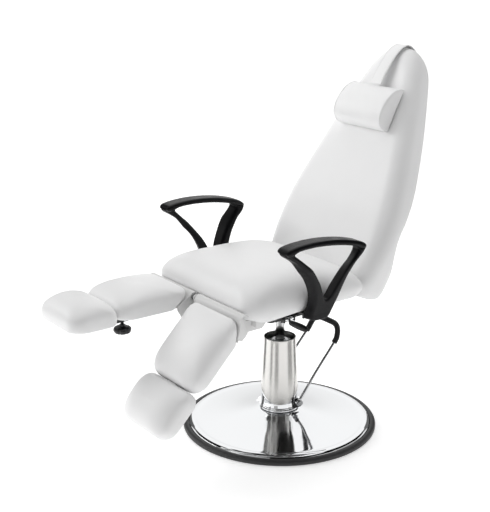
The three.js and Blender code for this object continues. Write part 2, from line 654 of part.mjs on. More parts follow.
function addLeg(chair, side) {
  const sign = side === 'left' ? 1 : -1;
  const leg = new THREE.Group();
  leg.position.set(0, ...LEG_PIVOT);
  leg.rotation.x = THREE.MathUtils.degToRad(LEG_ANGLES[side]);
  chair.add(leg);

  // The right leg is the left one shifted across, so only mirror-symmetric pieces differ.
  const across = (geometry) => (sign > 0 ? geometry : mirrored(geometry));
  add(leg, `leg_frame_${side}`, across(legFrame()), whitePaint);
  add(leg, `calf_board_${side}`, across(block([28, 217], [-222, -73], [-25.6, -14])), plywood);
  add(leg, `calf_pad_${side}`, across(calfPad()), vinyl);
  add(leg, `slide_socket_${side}`, across(slideSocket()), blackPaint);
  add(leg, `foot_bar_${side}`, across(join(
    block([102, 142], [-350, -96], [-54, -38]),
    block([92, 152], [-350, -262], [-40, FOOT_BOTTOM - GAP]),
  )), steel);
  add(leg, `foot_pad_${side}`, across(footPad()), vinyl);
  add(leg, `clamp_knob_${side}`, across(clampKnob()), blackPaint);

  const x = sign * STRUT_SIDE;
  const end = strutRodEnd(side);
  add(chair, `strut_cylinder_${side}`, cut(
    rod([x, -222, STRUT_HEIGHT], [x, -72, STRUT_HEIGHT], 8),
    rod([x, -230, STRUT_HEIGHT], [x, -80, STRUT_HEIGHT], 4.2),
  ), blackPaint);
  add(chair, `strut_rod_${side}`, join(
    rod([x, end, STRUT_HEIGHT], [x, end + 190, STRUT_HEIGHT], 3.6),
    alongX(disc(end, STRUT_HEIGHT, 8), x - 3, x + 3),
  ), chrome);
}

function mirrored(geometry) {
  const flipped = geometry.toNonIndexed().scale(-1, 1, 1);
  const position = flipped.attributes.position;
  for (let i = 0; i < position.count; i += 3) {
    const [a, b] = [i, i + 1].map((k) => new THREE.Vector3().fromBufferAttribute(position, k));
    position.setXYZ(i, b.x, b.y, b.z);
    position.setXYZ(i + 1, a.x, a.y, a.z);
  }
  return flipped;
}

// ---------------------------------------------------------------- assembly

const chair = new THREE.Group();
addBase(chair);
addPedal(chair);
addLift(chair);
addSeatFrame(chair);
addSeat(chair);
addArms(chair);
addRecline(chair);
addBackrest(chair);
addLeg(chair, 'left');
addLeg(chair, 'right');

export default chair;
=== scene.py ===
"""The looks of the pedicure spa chair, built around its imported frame.

Lengths are millimetres in the chair's frame, turned into metres as each mesh is made.
"""
import json
import math

import bmesh
import bpy
import numpy as np
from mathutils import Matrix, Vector

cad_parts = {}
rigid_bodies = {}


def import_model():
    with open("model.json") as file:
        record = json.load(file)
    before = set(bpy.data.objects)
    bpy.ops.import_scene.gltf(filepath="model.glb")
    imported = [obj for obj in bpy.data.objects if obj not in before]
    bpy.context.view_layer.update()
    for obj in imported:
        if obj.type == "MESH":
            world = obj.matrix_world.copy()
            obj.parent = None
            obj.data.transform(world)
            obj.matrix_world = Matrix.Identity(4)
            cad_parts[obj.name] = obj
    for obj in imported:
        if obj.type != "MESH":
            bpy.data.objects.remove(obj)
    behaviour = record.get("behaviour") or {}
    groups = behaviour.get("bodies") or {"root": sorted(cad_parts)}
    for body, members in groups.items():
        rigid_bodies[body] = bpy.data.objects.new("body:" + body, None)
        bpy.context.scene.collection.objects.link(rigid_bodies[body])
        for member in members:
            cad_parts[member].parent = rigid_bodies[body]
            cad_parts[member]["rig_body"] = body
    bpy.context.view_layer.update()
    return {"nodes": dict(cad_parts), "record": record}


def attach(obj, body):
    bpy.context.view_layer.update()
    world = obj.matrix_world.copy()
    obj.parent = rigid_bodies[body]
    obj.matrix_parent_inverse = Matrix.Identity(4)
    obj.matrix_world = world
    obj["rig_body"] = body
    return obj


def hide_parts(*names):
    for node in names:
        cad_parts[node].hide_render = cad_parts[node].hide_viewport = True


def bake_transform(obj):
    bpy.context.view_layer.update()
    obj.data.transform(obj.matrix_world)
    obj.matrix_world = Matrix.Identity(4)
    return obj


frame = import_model()

MM = 0.001
BACK_TILT = math.radians(27.58)
BACK_CREASE = (123.0, 511.0)  # y, z where the seat and the back meet
LEG_PIVOT = (-307.0, 477.0)  # y, z
LEG_ANGLES = {"left": math.radians(45), "right": 0.0}
SEAT_BOTTOM = 460.0
ARM_CENTRE = 291.0
SIDES = (("left", 1), ("right", -1))


# ------------------------------------------------------------------ small geometry

def smooth_path(points, count, closed=False):
    """count points, evenly spaced, on a Catmull-Rom curve through the given ones."""
    p = np.asarray(points, float)
    n = len(p)
    spans = n if closed else n - 1
    dense = []
    for i in range(spans):
        take = [(i + k) % n if closed else min(max(i + k, 0), n - 1) for k in (-1, 0, 1, 2)]
        a, b, c, d = p[take]
        t = np.linspace(0, 1, 24, endpoint=False)[:, None]
        dense.append(0.5 * (2 * b + (c - a) * t + (2 * a - 5 * b + 4 * c - d) * t ** 2
                            + (3 * b - a - 3 * c + d) * t ** 3))
    dense = np.vstack(dense + [p[:1] if closed else p[-1:]])
    run = np.concatenate([[0], np.cumsum(np.linalg.norm(np.diff(dense, axis=0), axis=1))])
    want = np.linspace(0, run[-1], count + 1 if closed else count)
    even = np.stack([np.interp(want, run, dense[:, k]) for k in range(p.shape[1])], 1)
    return even[:-1] if closed else even


def rounded_box(x0, y0, x1, y1, radii, steps=10):
    """A rectangle with round corners; radii run from (x1, y1) anticlockwise."""
    corners = [(x1, y1, 0), (x0, y1, 90), (x0, y0, 180), (x1, y0, 270)]
    out = []
    for (x, y, start), r in zip(corners, radii):
        cx = x - r if x == x1 else x + r
        cy = y - r if y == y1 else y + r
        for a in np.radians(np.linspace(start, start + 90, steps)):
            out.append((cx + r * math.cos(a), cy + r * math.sin(a)))
    return np.array(out)


def resampled(ring, count):
    """The closed ring as count evenly spaced points, starting from its first one."""
    p = np.vstack([ring, ring[:1]])
    run = np.concatenate([[0], np.cumsum(np.linalg.norm(np.diff(p, axis=0), axis=1))])
    want = np.linspace(0, run[-1], count, endpoint=False)
    return np.stack([np.interp(want, run, p[:, k]) for k in range(p.shape[1])], 1)


def ring_faces(rings, count, wrap=True):
    """The quads between successive rings of count points each."""
    faces = []
    for i in range(rings - 1):
        for j in range(count if wrap else count - 1):
            k = (j + 1) % count
            faces.append((i * count + j, i * count + k, (i + 1) * count + k, (i + 1) * count + j))
    return faces


def shell_of(rings):
    """A closed surface through rings of equal length, with a fan on the first and the last."""
    count = len(rings[0])
    verts = np.vstack(rings)
    faces = ring_faces(len(rings), count)
    ends = [(0, rings[0], True), ((len(rings) - 1) * count, rings[-1], False)]
    for start, ring, flipped in ends:
        centre = len(verts)
        verts = np.vstack([verts, ring.mean(0)])
        for j in range(count):
            a, b = start + j, start + (j + 1) % count
            faces.append((b, a, centre) if flipped else (a, b, centre))
    return verts, faces


def tube_of(rings):
    """A surface through rings of equal length, the last joined to the first."""
    count = len(rings[0])
    faces = ring_faces(len(rings), count)
    last = (len(rings) - 1) * count
    faces += [(last + j, last + (j + 1) % count, (j + 1) % count, j) for j in range(count)]
    return np.vstack(rings), faces


def swept(path, section, closed=False):
    """A section (sideways, upward) carried along a path without twisting."""
    path = np.asarray(path, float)
    count = len(path)
    ahead = np.roll(path, -1, 0) - np.roll(path, 1, 0)
    if not closed:
        ahead[0], ahead[-1] = path[1] - path[0], path[-1] - path[-2]
    ahead /= np.linalg.norm(ahead, axis=1)[:, None]
    up = np.array([0.0, 0.0, 1.0]) if abs(ahead[0][2]) < 0.9 else np.array([1.0, 0.0, 0.0])
    rings = []
    for i in range(count):
        up = up - ahead[i] * np.dot(up, ahead[i])
        up /= np.linalg.norm(up)
        side = np.cross(ahead[i], up)
        shape = section(i / max(count - 1, 1)) if callable(section) else section
        rings.append(path[i] + shape[:, :1] * side + shape[:, 1:] * up)
    if closed:
        return tube_of(rings)
    return shell_of(rings)


def circle(radius, count=16):
    """A round section for swept."""
    a = np.linspace(0, 2 * math.pi, count, endpoint=False)
    return np.stack([radius * np.cos(a), radius * np.sin(a)], 1)


def lathed(profile, count=128):
    """A profile of (radius, height), closed or starting and ending on the axis, about +Z."""
    rings = []
    angles = np.linspace(0, 2 * math.pi, count, endpoint=False)
    for r, z in profile:
        rings.append(np.stack([r * np.cos(angles), r * np.sin(angles), np.full(count, z)], 1))
    if profile[0][0] < 1e-6:
        return shell_of(rings)
    return tube_of(rings)


def rounded_profile(points, radius=1.0, steps=4):
    """A closed profile with each corner cut back and rounded."""
    out = []
    n = len(points)
    p = [np.array(q, float) for q in points]
    for i in range(n):
        a, b, c = p[i - 1], p[i], p[(i + 1) % n]
        before, after = a - b, c - b
        cut = min(radius, 0.45 * np.linalg.norm(before), 0.45 * np.linalg.norm(after))
        start = b + before / np.linalg.norm(before) * cut
        end = b + after / np.linalg.norm(after) * cut
        for t in np.linspace(0, 1, steps):
            out.append((1 - t) ** 2 * start + 2 * t * (1 - t) * b + t ** 2 * end)
    return np.array(out)


def piece(name, geometry, slot, body, replaces=(), material=None, smooth=40):
    """A piece from millimetre geometry, riding on a body, in its slot's material."""
    verts, faces = geometry
    mesh = bpy.data.meshes.new(name)
    mesh.from_pydata([Vector(v) * MM for v in verts], [], [tuple(f) for f in faces])
    mesh.validate()
    work = bmesh.new()
    work.from_mesh(mesh)
    bmesh.ops.remove_doubles(work, verts=work.verts, dist=1e-6)
    bmesh.ops.recalc_face_normals(work, faces=work.faces)
    work.to_mesh(mesh)
    work.free()
    made = bpy.data.objects.new(name, mesh)
    bpy.context.scene.collection.objects.link(made)
    mesh.materials.append(material or SLOT_MATERIALS[slot])
    shade(made, smooth)
    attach(made, body)
    if replaces:
        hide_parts(*replaces)
    return made


def shade(made, angle):
    """Smooth shading, with a crease wherever faces meet more sharply than angle degrees."""
    mesh = made.data
    mesh.polygons.foreach_set("use_smooth", [True] * len(mesh.polygons))
    mesh.set_sharp_from_angle(angle=math.radians(angle))


def merged(*parts):
    """Several geometries as one."""
    verts, faces = [], []
    for v, f in parts:
        start = sum(len(x) for x in verts)
        verts.append(np.asarray(v, float))
        faces += [tuple(i + start for i in face) for face in f]
    return np.vstack(verts), faces


def turned_to(geometry, axis, at):
    """Geometry made about +Z, laid along another axis and moved."""
    turn = Vector((0, 0, 1)).rotation_difference(Vector(axis).normalized()).to_matrix()
    verts = np.array([turn @ Vector(v) for v in geometry[0]]) + np.array(at, float)
    return verts, geometry[1]


def apply_modifiers(made):
    """Turns a piece's modifiers into plain mesh."""
    graph = bpy.context.evaluated_depsgraph_get()
    mesh = bpy.data.meshes.new_from_object(made.evaluated_get(graph))
    old = made.data
    made.modifiers.clear()
    made.data = mesh
    bpy.data.meshes.remove(old)


# ------------------------------------------------------------------ materials

def shader(name, colour, roughness, metallic=0.0, **sockets):
    """A principled material and its surface node; sockets are named with underscores."""
    material = bpy.data.materials.new(name)
    material.use_nodes = True
    surface = material.node_tree.nodes["Principled BSDF"]
    surface.inputs["Base Color"].default_value = (*colour, 1)
    surface.inputs["Roughness"].default_value = roughness
    surface.inputs["Metallic"].default_value = metallic
    for socket, value in sockets.items():
        surface.inputs[socket.replace("_", " ")].default_value = value
    return material, surface


def texture(material, kind, scale, detail=4.0, stretch=(1, 1, 1), **settings):
    """A procedural texture in the object's own coordinates; returns its main output."""
    nodes, links = material.node_tree.nodes, material.node_tree.links
    place = nodes.new("ShaderNodeTexCoord")
    mapping = nodes.new("ShaderNodeMapping")
    mapping.inputs["Scale"].default_value = stretch
    links.new(place.outputs["Object"], mapping.inputs["Vector"])
    made = nodes.new(kind)
    links.new(mapping.outputs["Vector"], made.inputs["Vector"])
    made.inputs["Scale"].default_value = scale
    if "Detail" in made.inputs:
        made.inputs["Detail"].default_value = detail
    for key, value in settings.items():
        if key in made.inputs:
            made.inputs[key].default_value = value
        else:
            setattr(made, key, value)
    return made.outputs["Distance" if kind == "ShaderNodeTexVoronoi" else 0]


def ramped(material, source, low, high, start=0.0, end=1.0):
    """The source's value mapped from start..end to low..high."""
    node = material.node_tree.nodes.new("ShaderNodeMapRange")
    material.node_tree.links.new(source, node.inputs["Value"])
    for key, value in zip(("From Min", "From Max", "To Min", "To Max"), (start, end, low, high)):
        node.inputs[key].default_value = value
    return node.outputs["Result"]


def tinted(material, surface, source, dark, light):
    """The base colour mixed from dark to light by the source."""
    mix = material.node_tree.nodes.new("ShaderNodeMix")
    mix.data_type = "RGBA"
    material.node_tree.links.new(source, mix.inputs["Factor"])
    mix.inputs["A"].default_value = (*dark, 1)
    mix.inputs["B"].default_value = (*light, 1)
    material.node_tree.links.new(mix.outputs["Result"], surface.inputs["Base Color"])


def bumped(material, surface, sources):
    """Bump from a list of (source, distance in metres), the coarse first."""
    nodes, links = material.node_tree.nodes, material.node_tree.links
    last = None
    for source, distance in sources:
        bump = nodes.new("ShaderNodeBump")
        bump.inputs["Distance"].default_value = distance
        bump.inputs["Strength"].default_value = 1.0
        links.new(source, bump.inputs["Height"])
        if last:
            links.new(last, bump.inputs["Normal"])
        last = bump.outputs["Normal"]
    links.new(last, surface.inputs["Normal"])


def glossed(material, surface, source, low, high, start=0.3):
    """Roughness between low and high, following the source."""
    material.node_tree.links.new(ramped(material, source, low, high, start, 0.7),
                                 surface.inputs["Roughness"])


def vinyl_material():
    """White upholstery vinyl: a fine pebble grain, faint wear in its gloss and soft slack."""
    m, s = shader("white_vinyl", (0.87, 0.87, 0.87), 0.42, Coat_Weight=0.12, Coat_Roughness=0.35)
    s.inputs["Specular IOR Level"].default_value = 0.45
    cloud = texture(m, "ShaderNodeTexNoise", 7, 3)
    tinted(m, s, ramped(m, cloud, 0, 1, 0.3, 0.7), (0.862, 0.862, 0.864), (0.882, 0.882, 0.882))
    glossed(m, s, texture(m, "ShaderNodeTexNoise", 40, 4), 0.38, 0.48)
    grain = texture(m, "ShaderNodeTexVoronoi", 900)
    slack = texture(m, "ShaderNodeTexNoise", 9, 2)
    bumped(m, s, [(slack, 0.0012), (grain, 0.00006)])
    return m


def thread_material():
    """Twisted sewing thread, a little greyer than the vinyl."""
    m, s = shader("white_thread", (0.72, 0.72, 0.71), 0.7)
    twist = texture(m, "ShaderNodeTexWave", 900, 1)
    tinted(m, s, twist, (0.62, 0.62, 0.61), (0.78, 0.78, 0.77))
    return m


def chrome_material():
    """Polished chrome with the faintest cloudiness."""
    m, s = shader("chrome", (0.86, 0.87, 0.88), 0.04, 1.0)
    haze = texture(m, "ShaderNodeTexNoise", 14, 5)
    glossed(m, s, haze, 0.03, 0.07, 0.35)
    return m


def satin_material():
    """Stainless tube, brushed round its girth."""
    m, s = shader("satin_steel", (0.71, 0.70, 0.68), 0.22, 1.0)
    brush = texture(m, "ShaderNodeTexNoise", 60, 6, stretch=(1, 1, 30))
    glossed(m, s, brush, 0.19, 0.26)
    bumped(m, s, [(brush, 0.000004)])
    return m


def ram_material():
    """Hard-chromed bar, ground rather than mirror bright."""
    m, s = shader("ram_steel", (0.66, 0.66, 0.66), 0.14, 1.0)
    turned = texture(m, "ShaderNodeTexNoise", 80, 4, stretch=(1, 1, 20))
    glossed(m, s, turned, 0.11, 0.18)
    return m


def steel_material():
    """Plain steel with fine scratches along it."""
    m, s = shader("bare_steel", (0.56, 0.57, 0.58), 0.33, 1.0)
    scratch = texture(m, "ShaderNodeTexNoise", 60, 6, stretch=(8, 1, 1))
    glossed(m, s, scratch, 0.26, 0.42)
    bumped(m, s, [(scratch, 0.00003)])
    return m


def paint_material(name, colour, roughness):
    """Powder coat with its fine orange peel."""
    m, s = shader(name, colour, roughness, Coat_Weight=0.15, Coat_Roughness=0.25)
    peel = texture(m, "ShaderNodeTexNoise", 420, 2)
    tint = [c * 0.94 for c in colour], [min(1, c * 1.05) for c in colour]
    tinted(m, s, texture(m, "ShaderNodeTexNoise", 11, 3), *tint)
    bumped(m, s, [(peel, 0.00005)])
    return m


def foam_material():
    """Black integral-skin foam: a satin skin with a fine leather grain."""
    m, s = shader("black_foam", (0.006, 0.006, 0.007), 0.34)
    s.inputs["Specular IOR Level"].default_value = 0.18
    grain = texture(m, "ShaderNodeTexVoronoi", 700)
    wear = texture(m, "ShaderNodeTexNoise", 30, 5)
    tinted(m, s, wear, (0.004, 0.004, 0.005), (0.008, 0.008, 0.009))
    glossed(m, s, wear, 0.28, 0.42)
    bumped(m, s, [(grain, 0.00008)])
    return m


def rubber_material(name, colour, roughness):
    """Moulded rubber with a little dust on it."""
    m, s = shader(name, colour, roughness)
    dust = texture(m, "ShaderNodeTexNoise", 24, 6)
    tinted(m, s, dust, [c * 0.85 for c in colour], [c * 1.2 for c in colour])
    bumped(m, s, [(texture(m, "ShaderNodeTexNoise", 900, 3), 0.00008)])
    return m


def plywood_material():
    """Plywood under a thin coat of black stain, its grain still showing."""
    m, s = shader("plywood", (0.014, 0.012, 0.011), 0.7)
    grain = texture(m, "ShaderNodeTexWave", 9, 4, stretch=(1, 6, 1), Distortion=7.0)
    tinted(m, s, grain, (0.010, 0.009, 0.008), (0.022, 0.019, 0.017))
    bumped(m, s, [(grain, 0.0002)])
    return m


SLOT_MATERIALS = {
    "white_vinyl": vinyl_material(),
    "chrome": chrome_material(),
    "satin_steel": satin_material(),
    "bare_steel": steel_material(),
    "white_paint": paint_material("white_paint", (0.74, 0.74, 0.735), 0.36),
    "black_paint": paint_material("black_paint", (0.008, 0.008, 0.009), 0.38),
    "black_foam": foam_material(),
    "black_rubber": rubber_material("black_rubber", (0.009, 0.009, 0.010), 0.6),
    "plywood": plywood_material(),
}
thread = thread_material()
ram_steel = ram_material()
ring_rubber = rubber_material("grey_rubber", (0.030, 0.030, 0.031), 0.5)


def finish_cad_nodes():
    """Each part kept as it is gets its slot's material and, where it is hard, soft edges."""
    for entry in frame["record"]["subparts"]:
        node = frame["nodes"][entry["node"]]
        node.data.materials.clear()
        node.data.materials.append(SLOT_MATERIALS[entry["material_slot"]])
        if node.hide_render:
            continue
        weld = node.modifiers.new("weld", "WELD")
        weld.merge_threshold = 0.00002
        bevel = node.modifiers.new("edges", "BEVEL")
        bevel.width = 0.0008
        bevel.segments = 2
        bevel.limit_method = "ANGLE"
        bevel.angle_limit = math.radians(35)
        bevel.harden_normals = False
        for polygon in node.data.polygons:
            polygon.use_smooth = True
        normals = node.modifiers.new("normals", "WEIGHTED_NORMAL")
        normals.keep_sharp = False


# ------------------------------------------------------------------ the moving frames

def turned_about_x(angle, y, z):
    """y and z turned by an angle about the x axis."""
    return y * np.cos(angle) - z * np.sin(angle), y * np.sin(angle) + z * np.cos(angle)


def from_back(points):
    """Points (x, depth behind the front face, height up the back) put into the chair's frame."""
    p = np.asarray(points, float)
    y, z = turned_about_x(-BACK_TILT, p[:, 1], p[:, 2])
    return np.stack([p[:, 0], y + BACK_CREASE[0], z + BACK_CREASE[1]], 1)


def to_back(points):
    p = np.asarray(points, float)
    y, z = turned_about_x(BACK_TILT, p[:, 1] - BACK_CREASE[0], p[:, 2] - BACK_CREASE[1])
    return np.stack([p[:, 0], y, z], 1)


def from_leg(side, points):
    """Points (x, distance down the leg, height off its line) put into the chair's frame."""
    p = np.asarray(points, float)
    y, z = turned_about_x(LEG_ANGLES[side], -p[:, 1], p[:, 2])
    return np.stack([p[:, 0], y + LEG_PIVOT[0], z + LEG_PIVOT[1]], 1)


def to_leg(side, points):
    p = np.asarray(points, float)
    y, z = turned_about_x(-LEG_ANGLES[side], p[:, 1] - LEG_PIVOT[0], p[:, 2] - LEG_PIVOT[1])
    return np.stack([p[:, 0], -y, z], 1)


def prism(outline, x0, x1, place=lambda p: p):
    """An outline of (y, z) as a solid from x0 to x1; the caps are single faces."""
    n = len(outline)
    near = np.column_stack([np.full(n, x0), outline])
    far = np.column_stack([np.full(n, x1), outline])
    faces = [tuple(range(n))[::-1], tuple(range(n, 2 * n))]
    faces += [(i, (i + 1) % n, n + (i + 1) % n, n + i) for i in range(n)]
    return place(np.vstack([near, far])), faces


def ribbon(middle, thickness):
    """The closed outline of a strip of even thickness along a middle line, with round ends."""
    m = np.asarray(middle, float)
    ahead = np.gradient(m, axis=0)
    ahead /= np.linalg.norm(ahead, axis=1)[:, None]
    out = np.stack([-ahead[:, 1], ahead[:, 0]], 1) * thickness / 2
    end = m[-1] + ahead[-1] * thickness / 2
    start = m[0] - ahead[0] * thickness / 2
    return np.vstack([m + out, [end], (m - out)[::-1], [start]])


def bevelled(made, width, segments=3, angle=30):
    """Rounds the sharp edges of a hard piece."""
    bevel = made.modifiers.new("edges", "BEVEL")
    bevel.width = width * MM
    bevel.segments = segments
    bevel.limit_method = "ANGLE"
    bevel.angle_limit = math.radians(angle)
    apply_modifiers(made)
    shade(made, 40)
    return made


# ------------------------------------------------------------------ cushions

def vertices_of(made):
    """The places of a piece's vertices, in metres."""
    co = np.zeros(len(made.data.vertices) * 3)
    made.data.vertices.foreach_get("co", co)
    return co.reshape(-1, 3)


def set_vertices(made, co):
    made.data.vertices.foreach_set("co", np.asarray(co, float).ravel())
    made.data.update()


def normals_of(made):
    out = np.zeros(len(made.data.vertices) * 3)
    made.data.vertices.foreach_get("normal", out)
    return out.reshape(-1, 3)


def relaxed(made, rounds, share):
    """Moves each vertex towards the middle of its neighbours; share is a number per vertex."""
    edges = np.zeros(len(made.data.edges) * 2, int)
    made.data.edges.foreach_get("vertices", edges)
    a, b = edges.reshape(-1, 2).T
    co = vertices_of(made)
    degree = np.bincount(np.concatenate([a, b]), minlength=len(co))[:, None]
    for _ in range(rounds):
        total = np.stack([np.bincount(a, co[b, k], len(co)) + np.bincount(b, co[a, k], len(co))
                          for k in range(3)], 1)
        co += (total / degree - co) * share[:, None]
    set_vertices(made, co)


def box_ring(bounds, radii, inset=0.0, growth=(0.5, 0.5), count=168):
    """A rounded rectangle drawn in by inset; its corners grow rounder, far and near ones apart."""
    x0, y0, x1, y1 = bounds
    x0, y0, x1, y1 = x0 + inset, y0 + inset, x1 - inset, y1 - inset
    most = 0.49 * min(x1 - x0, y1 - y0)
    rates = (growth[0], growth[0], growth[1], growth[1])
    rounder = [min(r + rate * inset, most) for r, rate in zip(radii, rates)]
    return resampled(rounded_box(x0, y0, x1, y1, rounder), count)


def loaf(bounds, radii, base, top, section, closing, growth=(0.5, 0.5)):
    """A stuffed form: rings from its flat underside, out over its sides, in to its crown.

    base and top give heights at plan points; section is (inset, share of the height), and
    closing is the underside's rings of (ring, height) from the middle outwards."""
    rings = [np.column_stack([ring, height(ring)]) for ring, height in closing]
    for inset, share in section:
        ring = box_ring(bounds, radii, inset, growth)
        rings.append(np.column_stack([ring, base(ring) + (top(ring) - base(ring)) * share]))
    edge = box_ring(bounds, radii, section[-1][0], growth)
    middle = edge.mean(0)
    for share in (0.82, 0.64, 0.46, 0.28, 0.12):
        ring = middle + (edge - middle) * share
        rings.append(np.column_stack([ring, top(ring)]))
    return shell_of(rings)


def cushion(name, node, body, geometry, held):
    """A padded piece from its geometry; held gives how far each point is kept in place."""
    made = piece(name, geometry, "white_vinyl", body, replaces=[node], smooth=180)
    weights = np.clip(held(vertices_of(made) / MM), 0, 1)
    return {"made": made, "held": weights, "body": body}


def inflate(cushions, pressure=4.0, frames=20, cap=6.0):
    """One cloth simulation for all the cushions: air pressure inside, the board side held."""
    for c in cushions:
        made = c["made"]
        group = made.vertex_groups.new(name="held")
        for i, weight in enumerate(c["held"]):
            if weight > 0.01:
                group.add([i], float(weight), "REPLACE")
        c["start"] = vertices_of(made)
        cloth = made.modifiers.new("cloth", "CLOTH")
        cloth.settings.quality = 4
        cloth.settings.use_pressure = True
        cloth.settings.uniform_pressure_force = pressure
        cloth.settings.vertex_group_mass = "held"
        cloth.settings.bending_stiffness = 2.0
        cloth.settings.effector_weights.gravity = 0.0
        cloth.collision_settings.use_collision = False
        cloth.point_cache.frame_start = 1
        cloth.point_cache.frame_end = frames
    for step in range(1, frames + 1):
        bpy.context.scene.frame_set(step)
    graph = bpy.context.evaluated_depsgraph_get()
    for c in cushions:
        made = c["made"]
        result = made.evaluated_get(graph).to_mesh()
        moved = np.zeros(len(result.vertices) * 3)
        result.vertices.foreach_get("co", moved)
        made.evaluated_get(graph).to_mesh_clear()
        made.modifiers.clear()
        made.vertex_groups.clear()
        shift = moved.reshape(-1, 3) - c["start"]
        size = np.linalg.norm(shift, axis=1)[:, None]
        limit = np.minimum(1, cap * MM / np.maximum(size, 1e-9))
        set_vertices(made, shift * limit)
        relaxed(made, 14, 0.6 * (1 - c["held"]))
        set_vertices(made, c["start"] + vertices_of(made))
    bpy.context.scene.frame_set(1)


def finish_cushion(c):
    made = c["made"]
    made.modifiers.new("finer", "SUBSURF").levels = 1
    apply_modifiers(made)
    shade(made, 180)


def ramp(value, start, end):
    """0 before start and 1 after end, with an even slope between."""
    return np.clip((value - start) / (end - start), 0, 1)


SEAT_BOUNDS = (-247.0, -299.0, 247.0, 136.0)
SEAT_RADII = (48, 48, 60, 60)
SEAT_SECTION = [(13, 0), (9, 0.05), (5, 0.12), (2, 0.20), (0.3, 0.30), (0, 0.40), (1.5, 0.50),
                (5.5, 0.60), (12, 0.70), (21, 0.79), (33, 0.865), (48, 0.92), (66, 0.96),
                (86, 0.985), (106, 0.997), (128, 1.0)]
BOARD_BOUNDS = (-222.8, -258.8, 222.8, 80.8)
BOARD_RADII = (40, 40, 40, 40)
RECESS = 12.7  # how deep the board sits in the cushion
SEAT_CROWN = 558.5
CORNER_DROOP = 8  # how far the front corners hang below the board


def underside(board, ceiling, shares=(0.1, 0.4, 0.7, 1.0)):
    """The rings of a cushion's recess, from its middle out to the edge of its board."""
    middle = board.mean(0)
    return [(middle + (board - middle) * share, ceiling) for share in shares]


def level(height):
    """A height that is the same at every plan point."""
    return lambda p: np.full(len(p), float(height))


def back_plane(points):
    """How far back the seat may reach at each point: the front of the backrest, less a gap."""
    x, _, z = points.T
    plane = BACK_CREASE[0] - 2.0 + (z - BACK_CREASE[1]) * math.tan(BACK_TILT)
    rounding = ramp(np.abs(x), 186, 242)
    return plane + 46 * (1 - np.sqrt(1 - 0.98 * rounding ** 2))


def make_seat():
    """The seat cushion, crowned, its front corners hanging a little over the board."""

    def top(p):
        fall_to_back = 0.00026 * np.clip(p[:, 1] + 150, 0, 400) ** 2
        return SEAT_CROWN - fall_to_back - 5 * (p[:, 0] / 247) ** 4

    def held(p):
        """Kept in place on its board and against the back."""
        return np.maximum(1 - ramp(p[:, 2], 470, 490),
                          1 - ramp(back_plane(p) - p[:, 1], 4, 24))

    board = box_ring(BOARD_BOUNDS, BOARD_RADII)
    closing = underside(board, level(SEAT_BOTTOM + RECESS)) + [(board, level(SEAT_BOTTOM))]
    verts, faces = loaf(SEAT_BOUNDS, SEAT_RADII, level(SEAT_BOTTOM), top, SEAT_SECTION, closing)
    x, y, z = verts.T
    y[:] = np.minimum(y, back_plane(verts))
    low = 1 - ramp(z, 462, 505)
    z -= CORNER_DROOP * ramp(np.abs(x), 217, 235) * ramp(-y, 120, 230) * low
    slack = np.exp(-(((x - 165) / 60) ** 2 + ((y + 215) / 70) ** 2))
    ripple = np.sin((x * 0.75 + y * 0.35) / 9.0)
    z += 0.5 * slack * ripple * ramp(z, 520, 545)
    return cushion("seat_upholstery", "seat_cushion", "seat", (verts, faces), held)


PAD_SECTION = [(3, 0), (1.5, 0.05), (0.4, 0.12), (0, 0.20), (0, 0.36), (0.9, 0.48), (2.9, 0.58),
               (6.5, 0.68), (12.5, 0.77), (21, 0.85), (31, 0.91), (43, 0.95), (57, 0.98),
               (72, 0.995)]
CALF_BASE = [(17, 8), (26, 3), (38, -4), (50, -12), (60, -19), (70, -29), (242, -29)]
CALF_BOUNDS = (11.5, 16.0, 233.5, 243.2)
CALF_RADII = (44, 44, 32, 32)
CALF_CEILING = -25.3
FOOT_BOUNDS = (12.0, 244.3, 233.0, 392.0)
FOOT_RADII = (44, 44, 30, 30)
FOOT_BOTTOM = -35.8
TRAY_INSET = 13.6


def make_leg_pads(side, sign):
    """The calf and the foot pad, crowned and with corners that pull in towards the far end."""
    place = lambda p: from_leg(side, p * np.array([sign, 1, 1]))

    def crown(height, fall, middle, half_length, side_fall):
        return lambda p: (height - fall * ((p[:, 1] - middle) / half_length) ** 2
                          - side_fall * ((p[:, 0] - 122.5) / 111) ** 2)

    def held(bottom, top, near, far):
        """Kept in place on the board and at the end nearer the seat."""
        return lambda p: np.maximum(1 - ramp(to_leg(side, p)[:, 2], bottom, top),
                                    1 - ramp(to_leg(side, p)[:, 1], near, far))

    base = lambda p: np.interp(p[:, 1], *np.array(CALF_BASE, float).T)
    tray = box_ring(CALF_BOUNDS, CALF_RADII, TRAY_INSET)
    closing = underside(tray, lambda p: np.maximum(base(p), CALF_CEILING)) + [(tray, base)]
    verts, faces = loaf(CALF_BOUNDS, CALF_RADII, base, crown(42, 7, 128, 113, 3.5), PAD_SECTION,
                        closing, (0.4, 0.5))
    calf = cushion(f"calf_upholstery_{side}", f"calf_pad_{side}", f"leg_{side}",
                   (place(verts), faces), held(-27, -12, 20, 60))

    closing = underside(box_ring(FOOT_BOUNDS, FOOT_RADII, 13), level(FOOT_BOTTOM))
    verts, faces = loaf(FOOT_BOUNDS, FOOT_RADII, level(FOOT_BOTTOM), crown(38, 7, 305, 80, 4),
                        PAD_SECTION, closing, (0.45, 0.5))
    foot = cushion(f"foot_upholstery_{side}", f"foot_pad_{side}", f"foot_{side}",
                   (place(verts), faces), held(-34, -20, 247, 275))
    return [calf, foot]


